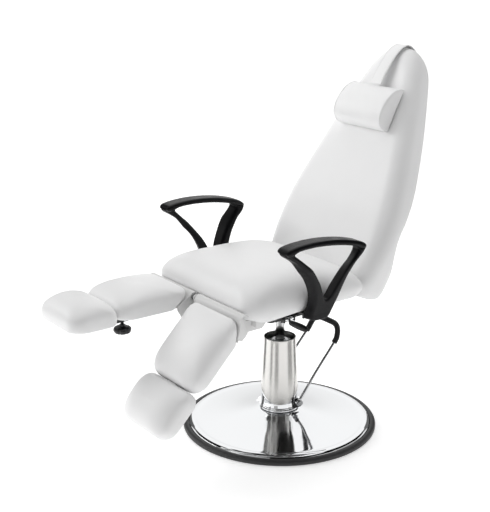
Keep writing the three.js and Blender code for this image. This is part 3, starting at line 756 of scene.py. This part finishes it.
BACK_OUTLINE = [(0, -55), (120, -55), (190, -53), (221, -44), (234, -20), (240, 20), (245, 60),
                (246.5, 100), (244.5, 150), (239, 200), (228, 250), (215, 300), (201, 350),
                (187, 400), (173, 450), (158, 500), (142, 550), (125, 600), (109, 640), (92, 670),
                (68, 697), (38, 715), (0, 721)]
BACK_FRONT = [(0, 52), (0.6, 44), (2.4, 36), (5.5, 28), (10, 20.5), (16, 14), (23.5, 8.5),
              (32, 4.2), (41, 1.4), (52, 0.2), (66, 0)]
BACK_BEHIND = [(34, 0), (24, 0.4), (15, 2.0), (8, 5.4), (3.6, 10.8), (1.2, 18), (0.2, 28)]
BACK_SPINE = (110.0, 520.0)  # heights between which the rings close on the middle line
REAR_HOLLOW = 9  # how far the rear sinks inside its rim
TOP_FALL = 0.2  # the slope of the top towards the rear


def back_outline(count=240):
    """The back's outline as seen from the front, both halves."""
    right = smooth_path(BACK_OUTLINE, 160)
    return resampled(np.vstack([right, (right * [-1, 1])[::-1][1:-1]]), count)


def back_ring(inset):
    """The outline drawn in towards the spine, by inset at right angles to its edge."""
    ring = back_outline()
    ahead = np.roll(ring, -1, 0) - np.roll(ring, 1, 0)
    outward = np.stack([ahead[:, 1], -ahead[:, 0]], 1)
    outward /= np.linalg.norm(outward, axis=1)[:, None]
    spine = np.column_stack([np.zeros(len(ring)), np.clip(ring[:, 1], *BACK_SPINE)])
    inward = spine - ring
    reach = np.linalg.norm(inward, axis=1)
    inward /= reach[:, None]
    slant = np.maximum(-(inward * outward).sum(1), 0.75)
    return ring + inward * np.minimum(inset / slant, reach * 0.85)[:, None]


def back_rings_inside(edge, shares):
    """Rings between the back's spine, at 0, and an edge ring, at 1."""
    spine = np.column_stack([np.zeros(len(edge)), np.clip(edge[:, 1], *BACK_SPINE)])
    return [spine + (edge - spine) * share for share in shares]


def rear_depth(heights):
    """How thick the back is at each height."""
    deep = smooth_path([(-55, 104)] + BACK_REAR + [(720, 80)], 240)
    return np.interp(heights, deep[:, 0], deep[:, 1])


def ladder_closed(rings):
    """A surface through symmetrical rings whose two ends are closed by rungs across them."""
    count = len(rings[0])
    faces = ring_faces(len(rings), count)
    last = (len(rings) - 1) * count
    for j in range(count // 2):
        k = (count - j) % count
        rung = (j, (j + 1) % count, (count - j - 1) % count, k)
        rung = tuple(dict.fromkeys(rung))
        faces.append(rung[::-1])
        faces.append(tuple(i + last for i in rung))
    return np.vstack(rings), faces


def at_depth(ring, depth):
    """An outline ring put at a depth behind the back's front face."""
    return np.column_stack([ring[:, 0], np.broadcast_to(depth, len(ring)), ring[:, 1]])


def make_back():
    """The shaped back cushion, hollowed at its rear where the cover panel sits."""

    def held(p):
        """Kept in place at the rear, along the bottom and where the pillow lies."""
        _, depth, height = to_back(p).T
        return np.maximum.reduce([ramp(depth, 55, 80), 1 - ramp(height, 40, 200),
                                  ramp(height, 210, 345)])

    rings = [at_depth(ring, rear_depth(ring[:, 1]) - REAR_HOLLOW)
             for ring in back_rings_inside(back_ring(37), (0.08, 0.35, 0.7, 1.0))]
    for inset, before in BACK_BEHIND:
        ring = back_ring(inset)
        rings.append(at_depth(ring, rear_depth(ring[:, 1]) - before))
    rings += [at_depth(back_ring(inset), depth) for inset, depth in BACK_FRONT]
    rings += [at_depth(ring, 0.0)
              for ring in back_rings_inside(back_ring(66), (0.84, 0.68, 0.52, 0.36, 0.2, 0.08))]
    verts, faces = ladder_closed(rings)
    verts[:, 2] -= TOP_FALL * np.maximum(verts[:, 1] - 36, 0) * ramp(verts[:, 2], 655, 715)
    return cushion("back_upholstery", "backrest_cushion", "backrest",
                   (from_back(verts), faces), held)


def pressed_clear(made, axis, radius):
    """Dents a cushion where a hinge along x turns against it."""
    co = vertices_of(made) / MM
    offset = co[:, 1:] - axis
    reach = np.linalg.norm(offset, axis=1)[:, None]
    co[:, 1:] = np.where(reach < radius, axis + offset * radius / np.maximum(reach, 1), co[:, 1:])
    set_vertices(made, co * MM)


def make_cushions():
    made = [make_seat(), make_back()]
    for side, sign in SIDES:
        made += make_leg_pads(side, sign)
    inflate(made)
    pressed_clear(made[0]["made"], np.array(LEG_PIVOT), 16.8)
    for c in made:
        finish_cushion(c)


def piping(name, line, radius, body):
    """A round welt along a closed line."""
    piece(name, swept(line, circle(radius, 10), closed=True), "white_vinyl", body)


def stitches(name, line, body, pitch=5.0, length=3.4, radius=0.55):
    """A row of short thread stitches along an open line."""
    p = np.asarray(line, float)
    run = np.concatenate([[0], np.cumsum(np.linalg.norm(np.diff(p, axis=0), axis=1))])
    parts = []
    for start in np.arange(pitch / 2, run[-1] - length, pitch):
        along = np.linspace(start, start + length, 4)
        points = np.stack([np.interp(along, run, p[:, k]) for k in range(3)], 1)
        parts.append(swept(points, circle(radius, 6)))
    return piece(name, merged(*parts), "white_vinyl", body, material=thread)


# ------------------------------------------------------------------ head pillow and its strap

PILLOW_X = (-106.0, 104.0)
PILLOW_SECTION = [(-2.5, 438), (-2.5, 455), (-2.5, 505), (-2.5, 555), (-3, 571), (-11, 571.5),
                  (-25, 564), (-41, 547), (-53, 521), (-58.5, 492), (-56, 466), (-46, 448),
                  (-30, 438), (-14, 435.5)]


def pillow_section(grow):
    """The pillow's outline in section, grown or shrunk about its middle."""
    ring = smooth_path(PILLOW_SECTION, 72, closed=True)
    centre = np.array([-27.0, 504.0])
    inward = centre - ring
    return ring + inward / np.linalg.norm(inward, axis=1)[:, None] * -grow


def make_pillow():
    """A D-shaped bolster: one wrapped panel, a crescent panel on each end and a welt between."""
    rings = []
    lo, hi = PILLOW_X
    middle, half = (lo + hi) / 2, (hi - lo) / 2
    ends = [(1.0, -24), (1.0, -14), (0.995, -7), (0.985, -2.6), (0.965, -1.0)]
    walls = [(t, -0.4 * (t / 0.965) ** 6) for t in np.linspace(0.93, 0, 14)]
    right = ends + walls
    stations = [(middle + half * t, g) for t, g in right] + \
               [(middle - half * t, g) for t, g in right[::-1][1:]]
    for x, grow in stations:
        ring = pillow_section(grow)
        rings.append(np.column_stack([np.full(len(ring), x), ring]))
    verts, faces = shell_of(rings)
    p = np.array(verts)
    bulge = np.clip(1 - np.abs((p[:, 0] - middle) / half) ** 4, 0, 1)
    wave = 0.5 * np.sin(p[:, 0] * 0.16 + p[:, 2] * 0.11) * np.clip(-p[:, 1] / 60, 0, 1)
    crease = 1.2 * np.exp(-((p[:, 2] - 452 - 0.35 * (p[:, 0] - 60)) / 7) ** 2) \
        * np.clip((p[:, 0] - 30) / 60, 0, 1) * (1 - np.clip((p[:, 0] - 88) / 12, 0, 1))
    p[:, 1] -= (1.2 * bulge + wave * 0.5 - crease) * np.clip(-p[:, 1] / 20, 0, 1)
    pillow = piece("pillow_upholstery", (from_back(p), faces), "white_vinyl", "headrest",
                   replaces=["head_pillow"], smooth=70)
    for name, x in (("right", lo + 3.2), ("left", hi - 3.2)):
        ring = pillow_section(-0.9)
        line = from_back(np.column_stack([np.full(len(ring), x), ring]))
        piping(f"pillow_welt_{name}", line, 1.3, "headrest")


STRAP_ROUTE = [(-27, 572), (-25, 600), (-18, 645), (-8, 682), (2, 702), (12, 714), (24, 721),
               (37, 722.6), (50, 719.8), (63, 715), (75, 704.5), (83, 688), (87, 666), (89.5, 640),
               (92.5, 600)]


def make_strap():
    """Two thicknesses of vinyl, folded and edge-stitched, from the pillow over the top."""
    route = smooth_path(STRAP_ROUTE, 90)
    line = np.column_stack([np.zeros(len(route)), route])
    ahead = np.gradient(line, axis=0)
    ahead /= np.linalg.norm(ahead, axis=1)[:, None]
    out = np.cross(ahead, [1.0, 0, 0])
    section = rounded_profile([(-24, -1.2), (24, -1.2), (24, 1.2), (-24, 1.2)], 1.1, 5)
    rings = [c + section[:, :1] * np.array([1.0, 0, 0]) + section[:, 1:] * o
             for c, o in zip(line, out)]
    verts, faces = shell_of(rings)
    strap = piece("strap_webbing", (from_back(verts), faces), "white_vinyl", "backrest")
    loosen(strap)
    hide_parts("head_strap")
    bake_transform(strap)
    for name, x in (("right", -20.5), ("left", 20.5)):
        path = line[3:-3] + out[3:-3] * -1.25 + np.array([x, 0, 0])
        row = stitches(f"strap_stitches_{name}", from_back(path), "backrest")
        loosen(row)
        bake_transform(row)


def loosen(made):
    """Takes a piece off its body again, as a blended piece rides on two."""
    made.parent = None
    if "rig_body" in made:
        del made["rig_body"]


# ------------------------------------------------------------------ rear cover of the back

BACK_WIDTHS = [(-30, 232), (20, 241), (60, 245), (110, 245), (160, 243), (200, 239), (250, 228),
               (300, 214), (350, 201), (400, 187), (450, 172), (500, 156), (550, 140),
               (600, 122), (640, 102)]
BACK_REAR = [(-30, 109), (40, 105), (100, 88), (150, 82), (210, 91), (270, 100), (350, 103),
             (450, 99), (560, 91), (640, 86)]


COVER_BOTTOM = -30
COVER_TOP = 640


def make_back_cover():
    """The upholstered cover on the rear of the back, with a welt round its edge."""
    heights = np.linspace(COVER_BOTTOM, COVER_TOP, 90)
    wide = smooth_path(BACK_WIDTHS, 200)
    deep = smooth_path(BACK_REAR, 200)
    half = np.interp(heights, wide[:, 0], wide[:, 1]) - 38
    depth = np.interp(heights, deep[:, 0], deep[:, 1]) - 1.2
    ends = np.minimum(1, np.minimum(heights - COVER_BOTTOM, COVER_TOP - heights) / 40)
    half -= 38 * (1 - np.sqrt(1 - (1 - ends) ** 2))
    across = np.linspace(-1, 1, 41)
    grids = []
    for lift in (0.0, -5.0):
        grid = [np.column_stack([across * h, d + lift + 2.2 * (1 - across ** 2) * e * (lift == 0),
                                 np.full(41, s)]) for h, d, s, e in zip(half, depth, heights, ends)]
        grids.append(np.vstack(grid))
    n, rows = 41, len(heights)
    faces = ring_faces(rows, n, wrap=False)
    back = [tuple(i + n * rows for i in f[::-1]) for f in faces]
    rim = list(range(n)) + [r * n + n - 1 for r in range(1, rows)] + \
          [(rows - 1) * n + i for i in range(n - 2, -1, -1)] + [r * n for r in range(rows - 2, 0, -1)]
    walls = [(rim[i], rim[(i + 1) % len(rim)], rim[(i + 1) % len(rim)] + n * rows, rim[i] + n * rows)
             for i in range(len(rim))]
    verts = np.vstack(grids)
    cover = piece("back_cover", (from_back(verts), faces + back + walls), "white_vinyl",
                  "backrest", replaces=["backrest_panel"], smooth=50)
    line = resampled(verts[rim], 260) + np.array([0, -0.6, 0])
    piping("back_cover_welt", from_back(line), 2.4, "backrest")


# ------------------------------------------------------------------ armrests

ARM_LOOP = [
    (-112, 466), (-106, 491), (-109, 518), (-115, 536), (-125, 557), (-138, 578), (-155, 598),
    (-172, 618), (-187, 633), (-206, 646), (-224, 657), (-228, 664), (-224, 673), (-212, 678),
    (-184, 681.5), (-144, 683), (-104, 682), (-65, 678.5), (-20, 671.5), (20, 662), (48, 652),
    (62, 642), (62, 633), (55, 621), (44, 610), (31, 598), (19, 581), (8, 564), (0, 548),
    (-8, 529), (-14, 512), (-19, 493), (-28, 470), (-36, 455), (-45, 445), (-56, 441), (-89, 441),
    (-106, 445), (-114, 450)]
ARM_WINDOW = [
    (-60, 498), (-50, 505), (-42, 516), (-36, 530), (-25, 550), (-13, 570), (-1, 587), (12, 602),
    (26, 617), (36, 632), (34, 641), (14, 652), (-43, 663), (-105, 670), (-153, 671), (-180, 668),
    (-193, 660), (-190, 653), (-176, 641), (-159, 626), (-137, 606), (-113, 577), (-94, 550),
    (-79, 520), (-70, 503)]
ARM_PAD = [
    (-226, 664), (-224, 673), (-212, 678), (-184, 682), (-144, 684), (-104, 683), (-65, 679.5),
    (-20, 672.5), (20, 663), (48, 653), (61, 641), (50, 637), (14, 650), (-43, 662), (-105, 669),
    (-153, 670), (-184, 668), (-208, 660)]


def plate_curve(name, outlines, half_width, round_over):
    """A flat shape with holes, given thickness and rounded edges; its plane is y, z."""
    curve = bpy.data.curves.new(name, "CURVE")
    curve.dimensions = "2D"
    curve.fill_mode = "BOTH"
    for outline in outlines:
        spline = curve.splines.new("POLY")
        spline.points.add(len(outline) - 1)
        for point, (y, z) in zip(spline.points, outline):
            point.co = (y * MM, z * MM, 0, 1)
        spline.use_cyclic_u = True
    curve.extrude = (half_width - round_over) * MM
    curve.bevel_depth = round_over * MM
    curve.bevel_resolution = 3
    curve.offset = -round_over * MM
    made = bpy.data.objects.new(name, curve)
    bpy.context.scene.collection.objects.link(made)
    bpy.context.view_layer.update()
    mesh = bpy.data.meshes.new_from_object(made.evaluated_get(bpy.context.evaluated_depsgraph_get()))
    bpy.data.objects.remove(made)
    co = np.zeros(len(mesh.vertices) * 3)
    mesh.vertices.foreach_get("co", co)
    y, z, x = co.reshape(-1, 3).T / MM
    faces = [tuple(p.vertices) for p in mesh.polygons]
    bpy.data.meshes.remove(mesh)
    return np.stack([x, y, z], 1), faces


ARM_HALF_WIDTH = 14
ARM_PAD_HALF_WIDTH = 24
ARM_VOXEL = 0.0024
ARM_LEAN = 0.2  # how far the loop leans out for each millimetre of height below its pad
ARM_MIDDLE = -60  # y between its two legs


def make_armrest(side, sign):
    """One foam moulding: a loop with a wider pad along its top, leaning out to the seat."""
    loop = smooth_path(ARM_LOOP, 150, closed=True)
    window = smooth_path(ARM_WINDOW, 110, closed=True)
    legs = plate_curve("loop", [loop, window], ARM_HALF_WIDTH, 4)
    pad = plate_curve("pad", [smooth_path(ARM_PAD, 110, closed=True)], ARM_PAD_HALF_WIDTH, 4.5)
    verts, faces = merged(legs, pad)
    made = piece(f"armrest_moulding_{side}", (verts, faces), "black_foam", "seat",
                 replaces=[f"armrest_{side}"], smooth=60)
    remesh = made.modifiers.new("remesh", "REMESH")
    remesh.mode = "VOXEL"
    remesh.voxel_size = ARM_VOXEL
    apply_modifiers(made)
    relaxed(made, 4, np.full(len(made.data.vertices), 0.5))
    p = vertices_of(made) / MM + 1.1 * normals_of(made)
    rear = ramp(p[:, 1], -66, -40) * ramp(p[:, 2], 485, 520) * (1 - ramp(p[:, 2], 640, 652))
    p[:, 0] *= 1 + 0.35 * rear * (np.abs(p[:, 0]) < ARM_HALF_WIDTH + 2)
    below = np.minimum(0, np.maximum(p[:, 2], SEAT_BOTTOM) - 600)
    under_pad = np.clip((650 - p[:, 2]) / 50, 0, 1)
    narrowing = 0.085 * sign * (p[:, 0] / ARM_HALF_WIDTH) * under_pad
    x = p[:, 0] + sign * (ARM_CENTRE + ARM_LEAN * below)
    y = ARM_MIDDLE + (p[:, 1] - ARM_MIDDLE) * (1 - narrowing)
    set_vertices(made, np.stack([x, y, p[:, 2]], 1) * MM)
    made.modifiers.new("finer", "SUBSURF").levels = 1
    apply_modifiers(made)
    for polygon in made.data.polygons:
        polygon.use_smooth = True
    return made


# ------------------------------------------------------------------ base, column and pedal

DOME = [(278.4, 7), (281, 7), (282, 14), (277, 20), (264, 22.5), (250, 21.5), (200, 25.4),
        (150, 32.5), (100, 44.5), (66, 56), (50, 58.4), (50, 55.4), (64, 53), (98, 41.5),
        (149, 29.5), (199, 22.4), (250, 18.5), (264, 19.3), (275.5, 17.5), (279, 13)]
RING = [(282.6, 0), (297.5, 0), (300, 3), (300, 10), (297.5, 14.5), (291, 17), (284.5, 17),
        (282.6, 14.8)]
COLLAR = [(45, 58.8), (61.8, 58.8), (62.6, 60.5), (62.6, 64.5), (60.2, 66.5), (60.2, 69),
          (58.8, 71), (57.2, 84), (55.6, 118), (45, 118)]
RAM = [(0, 62), (13.2, 62), (14.4, 63.5), (14.4, 371), (15.4, 372.6), (24, 374), (24, 379.4),
       (12.4, 379.7), (12.4, 410.5), (11, 412), (0, 412)]


PUMP_HEAD = [(15.8, 281.3), (21.4, 281.3), (22.6, 280.8), (25.4, 279.2), (25.4, 272.4),
             (38, 272.4), (40.4, 269.5), (42.5, 262), (42.5, 258), (42.2, 258), (42.2, 262),
             (39, 271.9), (25.1, 272.1), (15.8, 281.1)]


def make_base():
    """What is turned about the column: dome, ring, collar, ram and the top of the pump."""
    outer = smooth_path(DOME[1:11], 90)
    inner = smooth_path(DOME[11:], 50)
    profile = np.vstack([DOME[:1], outer, inner])
    piece("dome", lathed(profile, 192), "chrome", "base", ["base_dome"], smooth=50)
    piece("ring", lathed(rounded_profile(RING, 1.6), 192), "black_rubber", "base",
          ["rubber_ring"], material=ring_rubber, smooth=50)
    piece("collar", lathed(rounded_profile(COLLAR, 1.0), 128), "chrome", "base",
          ["pump_collar"], smooth=50)
    piece("ram", lathed(RAM, 96), "chrome", "lift", ["pump_ram"], material=ram_steel, smooth=35)
    piece("pump_head", lathed(PUMP_HEAD, 96), "bare_steel", "base", smooth=35)


def make_sleeve():
    """The stainless cover of the pump: a tapered tube, scooped low on two sides."""
    tongue = math.atan2(-0.6, 0.8)
    count, rows = 240, 26
    angles = np.linspace(0, 2 * math.pi, count, endpoint=False)
    wide = 59.0
    low = 148 - np.sqrt(64.0 ** 2 - (wide * np.sin(angles - tongue)) ** 2)
    x, y = wide * np.cos(angles), wide * np.sin(angles)
    notch = np.clip((12.5 - np.abs(y - 22)) / 1.5, 0, 1) * (x < -35)
    low = np.maximum(low, 84 + (99 - 84) * notch)
    rings = []
    walls = [(t, 0.0) for t in np.linspace(0, 0.992, rows)] + [(0.999, -0.25), (1.0, -0.65)] + \
            [(0.999, -1.05)] + [(t, -1.3) for t in np.linspace(0.992, 0, rows)]
    for t, inward in walls:
        z = low + (289 - low) * t
        r = 49.4 + (289 - z) * 0.0475 + inward
        rings.append(np.stack([r * np.cos(angles), r * np.sin(angles), z], 1))
    piece("sleeve", tube_of(rings), "satin_steel", "base", ["column_sleeve"], smooth=45)


PEDAL_HALF_WIDTH = 68.5
PEDAL_ROD = 4.5  # radius
RIB_PITCH = 3.2


def make_pedal():
    """A bent chromed rod whose far bar is covered by a finely ribbed rubber sleeve."""
    w = PEDAL_HALF_WIDTH
    half = [(w, 26, 92), (w - 1, 88, 167), (w - 2, 163, 250), (w - 4, 176, 270),
            (w - 12, 184, 290), (w - 26, 187, 299), (w - 44, 188, 301)]
    route = half + [(-x, y, z) for x, y, z in half[::-1]]
    loop = smooth_path(route, 220)
    eyes = []
    for x in (w, -w):
        eye = lathed(rounded_profile([(6.35, -3.8), (11, -3.8), (11, 3.8), (6.35, 3.8)], 0.8), 48)
        eyes.append(turned_to(eye, (1, 0, 0), (x, 22, 86)))
    piece("pedal_rod", merged(swept(loop, circle(PEDAL_ROD, 20)), *eyes), "chrome", "pedal",
          ["pedal_frame"], smooth=60)
    run = np.concatenate([[0], np.cumsum(np.linalg.norm(np.diff(loop, axis=0), axis=1))])
    bend = run[np.argmin(np.linalg.norm(loop - np.array([w - 2, 163, 250]), axis=1))]
    fine = np.linspace(bend, run[-1] - bend, 620)
    covered = np.stack([np.interp(fine, run, loop[:, k]) for k in range(3)], 1)
    outer = []
    for s in fine - fine[0]:
        edge = min(s, fine[-1] - fine[0] - s)
        rib = 8.3 + 0.7 * (0.5 + 0.5 * math.cos(2 * math.pi * s / RIB_PITCH))
        outer.append(rib if edge > 5 else 8.2 + 0.8 * math.sqrt(max(edge, 0) / 5))
    sleeve = swept(covered, lambda t: circle(outer[round(t * (len(outer) - 1))], 20))
    piece("pedal_sleeve", sleeve, "black_rubber", "pedal", ["pedal_grip"], smooth=70)


# ------------------------------------------------------------------ lever, knobs and leg strips

def make_lever():
    """The recline lever: a chromed wand from its pivot, with a grooved rubber grip."""
    wand = smooth_path([(101, -49, 385), (120, -60, 388), (150, -79, 394), (215, -94, 403)], 40)
    hub = turned_to(lathed([(0, 0), (5.6, 0), (6.5, 1), (6.5, 31), (5.6, 32), (0, 32)], 40),
                    (0, 1, 0), (101, -65, 385))
    piece("lever_rod", merged(swept(wand, circle(4, 18)), hub), "chrome", "recline_lever",
          ["recline_lever"], smooth=50)
    shape = smooth_path([(7.4, 0), (8.2, 10), (9.4, 40), (9.6, 66), (8.6, 88), (6, 101), (2, 104)], 90)
    profile = []
    for r, z in shape:
        groove = 0.35 * (math.cos(2 * math.pi * z / 4.0) > 0.55) * (14 < z < 92)
        profile.append((r - groove, z))
    grip = lathed([(0, 0), (6.6, 0)] + profile + [(0, 104.2)], 48)
    start, end = np.array([150.0, -79, 394]), np.array([250.0, -102, 408])
    piece("lever_grip", turned_to(grip, end - start, start), "black_rubber", "recline_lever",
          ["recline_grip"], smooth=60)


def make_knob(side, sign):
    """A fluted star knob and its threaded stem, under the calf rest."""
    count = 96
    angles = np.linspace(0, 2 * math.pi, count, endpoint=False)
    flute = 1 - 0.10 * np.clip(np.cos(angles * 7), -0.2, 1) ** 2 * (np.cos(angles * 7) > 0)
    rings = []
    for r, b in [(16, -104), (20, -103.4), (23, -101.8), (25.2, -99.2), (26, -96), (26, -92),
                 (25, -89), (22, -86), (18, -84.4), (12, -83.4), (8.6, -82.8), (8.4, -78)]:
        scale = flute if r > 17 else np.ones(count)
        rings.append(np.stack([122 * sign + r * scale * np.cos(angles),
                               177 + r * scale * np.sin(angles), np.full(count, b)], 1))
    for b in np.arange(-77.6, -54.6, 0.5):
        r = 4.8 - 0.35 * ((b * 2) % 2 > 0.9)
        rings.append(np.stack([122 * sign + r * np.cos(angles), 177 + r * np.sin(angles),
                               np.full(count, b)], 1))
    verts, faces = shell_of(rings)
    piece(f"knob_{side}", (from_leg(side, verts), faces), "black_paint", f"knob_{side}",
          [f"clamp_knob_{side}"], smooth=45)


def make_leg_strip(side, sign):
    """The white sheet-steel hinge strip, rolled round the pin, with its cheeks and plate."""
    roll = [(13.25 * math.cos(math.radians(t)), 13.25 * math.sin(math.radians(t)))
            for t in range(180, 59, -6)]
    swoop = [(10, 9), (17, 4), (26, -1.5), (38, -8), (50, -16), (60, -22.5)]
    middle = np.vstack([roll, smooth_path([roll[-1]] + swoop, 30)[1:]])
    place = lambda p: from_leg(side, p)
    x0, x1 = sorted((sign * 11, sign * 235))
    strip = piece(f"hinge_strip_{side}", prism(ribbon(middle, 3), x0, x1, place), "white_paint",
                  f"leg_{side}", [f"leg_frame_{side}"], smooth=30)
    bevelled(strip, 0.7, 2, 50)
    cheek = [(-6, -6), (-4, 2), (2, 7), (8, 7.5), (14, 4), (26, -2.5), (40, -10), (56, -21),
             (58, -30), (44, -54), (30, -56), (16, -54), (6, -28)]
    parts = []
    for inner in (12, 206):
        a, b = sorted((sign * inner, sign * (inner + 4)))
        parts.append(prism(np.array(cheek), a, b, place))
        ring = lathed([(7.3, 0), (10.5, 0), (10.5, 4), (7.3, 4)], 48)
        parts.append((place(turned_to(ring, (1, 0, 0), (a, 0, 0))[0]), ring[1]))
    a, b = sorted((sign * 26, sign * 219))
    parts.append(prism(np.array([(52, -29), (225, -29), (225, -26), (52, -26)]), a, b, place))
    parts.append(prism(np.array([(48, -16), (52, -14.5), (70, -26), (70, -29), (64, -29)]), a, b,
                       place))
    a, b = sorted((sign * 14, sign * 21.8))
    pin = lathed([(0, 0), (4, 0), (4, b - a), (0, b - a)], 32)
    parts.append((place(turned_to(pin, (1, 0, 0), (a, 25, -44))[0]), pin[1]))
    plates = piece(f"hinge_cheeks_{side}", merged(*parts), "white_paint", f"leg_{side}",
                   smooth=30)
    bevelled(plates, 0.6, 2, 50)


# ------------------------------------------------------------------ light, floor and camera

def area_light(name, place, aim, size, watts):
    """A rectangular softbox that points at aim."""
    light = bpy.data.lights.new(name, "AREA")
    light.shape = "RECTANGLE"
    light.size, light.size_y = size
    light.energy = watts
    made = bpy.data.objects.new(name, light)
    made.location = place
    made.rotation_euler = (Vector(aim) - Vector(place)).to_track_quat("-Z", "Y").to_euler()
    bpy.context.scene.collection.objects.link(made)


SKY_LEVELS = (  # direction, the cosines where the level starts and ends, the two levels
    ((0.90, -0.20, 0.25), -0.6, 0.9, 1.06, 0.84),
    ((0.54, -0.43, 0.70), 0.66, 0.86, 0.0, 0.84),
    ((0, 0, 1), 0.02, 0.5, 0.22, 0.0),
)
SKY_DIMMEST = 0.03


def studio_world():
    """White all round, dimmer to the right and low down, and unlit above the camera.

    The first level is the white; the others are taken away from it."""
    world = bpy.data.worlds.new("studio")
    world.use_nodes = True
    nodes, links = world.node_tree.nodes, world.node_tree.links
    sky = nodes.new("ShaderNodeTexCoord").outputs["Generated"]
    background = nodes["Background"]
    levels = []
    for direction, start, end, low, high in SKY_LEVELS:
        dot = nodes.new("ShaderNodeVectorMath")
        dot.operation = "DOT_PRODUCT"
        dot.inputs[1].default_value = Vector(direction).normalized()
        links.new(sky, dot.inputs[0])
        level = nodes.new("ShaderNodeMapRange")
        level.interpolation_type = "SMOOTHSTEP"
        for key, value in zip(("From Min", "From Max", "To Min", "To Max"), (start, end, low, high)):
            level.inputs[key].default_value = value
        links.new(dot.outputs["Value"], level.inputs["Value"])
        levels.append(level.outputs["Result"])
    strength = levels[0]
    for level in levels[1:]:
        less = nodes.new("ShaderNodeMath")
        less.operation = "SUBTRACT"
        links.new(strength, less.inputs[0])
        links.new(level, less.inputs[1])
        strength = less.outputs[0]
    dimmest = nodes.new("ShaderNodeMath")
    dimmest.operation = "MAXIMUM"
    dimmest.inputs[1].default_value = SKY_DIMMEST
    links.new(strength, dimmest.inputs[0])
    links.new(dimmest.outputs[0], background.inputs["Strength"])
    background.inputs["Color"].default_value = (1, 1, 1, 1)
    bpy.context.scene.world = world


CAMERA_SIDE = (Vector((0.782, -0.624, 0)), Vector((0.598, 0.801, 0)))  # towards it, its right
LOW_CARD = (0.005, 0.23, 0.47)  # bottom, top, distance from the column, in metres
CEILING_CARD = (0.4, 1.8, 0.95)
REFLECTED_CARDS = (  # name, start and end in degrees round from the camera, grey, place
    ("card_left", -62, -48, 0.32, LOW_CARD),
    ("card_middle", -30, -8, 0.42, LOW_CARD),
    ("card_right", 52, 84, 0.42, LOW_CARD),
    ("card_edge", 104, 128, 0.15, LOW_CARD),
    ("card_far_edge", -128, -106, 0.12, LOW_CARD),
    ("card_ceiling", -140, 140, 0.0, CEILING_CARD),
)


def reflected_card(name, start, end, grey, place):
    """A studio card that only shows in reflections."""
    towards, right = CAMERA_SIDE
    low, high, radius = place
    points = []
    for angle in np.radians(np.linspace(start, end, 12)):
        out = (towards * math.cos(angle) + right * math.sin(angle)) * radius
        points += [out + Vector((0, 0, low)), out + Vector((0, 0, high))]
    faces = [(i, i + 2, i + 3, i + 1) for i in range(0, len(points) - 2, 2)]
    mesh = bpy.data.meshes.new(name)
    mesh.from_pydata(points, [], faces)
    card = bpy.data.objects.new(name, mesh)
    bpy.context.scene.collection.objects.link(card)
    material, surface = shader(name, (0.0, 0.0, 0.0), 1.0)
    surface.inputs["Specular IOR Level"].default_value = 0.0
    surface.inputs["Emission Color"].default_value = (1, 1, 1, 1)
    surface.inputs["Emission Strength"].default_value = grey
    mesh.materials.append(material)
    card.visible_camera = False
    card.visible_diffuse = False
    card.visible_shadow = False
    card.visible_transmission = False


FLOOR_HALF = 40.0
CAMERA_PLACE = (2.585, -2.064, 1.570)
CAMERA_TURN = (72.78, 0.0, 53.25)
CAMERA_LENS = 81.07


def make_stage():
    half = FLOOR_HALF
    mesh = bpy.data.meshes.new("floor")
    mesh.from_pydata([(-half, -half, 0), (half, -half, 0), (half, half, 0), (-half, half, 0)], [],
                     [(0, 1, 2, 3)])
    floor = bpy.data.objects.new("floor", mesh)
    bpy.context.scene.collection.objects.link(floor)
    material, surface = shader("floor", (0.93, 0.93, 0.93), 0.6)
    surface.inputs["Emission Color"].default_value = (1, 1, 1, 1)
    surface.inputs["Emission Strength"].default_value = 0.45
    speck = texture(material, "ShaderNodeTexNoise", 3, 2)
    tinted(material, surface, speck, (0.925, 0.925, 0.925), (0.94, 0.94, 0.94))
    mesh.materials.append(material)

    studio_world()
    for card in REFLECTED_CARDS:
        reflected_card(*card)
    area_light("key", (-2.4, -2.2, 2.6), (0, -0.1, 0.6), (2.0, 2.0), 36)
    area_light("top", (-0.4, 0.4, 3.4), (0, 0, 0.5), (2.4, 2.4), 16)

    scene = bpy.context.scene
    scene.view_settings.view_transform = "Standard"
    camera = bpy.data.objects.new("camera", bpy.data.cameras.new("camera"))
    camera.location = CAMERA_PLACE
    camera.rotation_euler = [math.radians(angle) for angle in CAMERA_TURN]
    camera.data.lens = CAMERA_LENS
    camera.data.clip_end = 200
    scene.collection.objects.link(camera)
    scene.camera = camera


make_stage()
make_cushions()
make_pillow()
make_strap()
make_back_cover()
make_base()
make_sleeve()
make_pedal()
make_lever()
for side, sign in SIDES:
    make_armrest(side, sign)
    make_knob(side, sign)
    make_leg_strip(side, sign)
finish_cad_nodes()
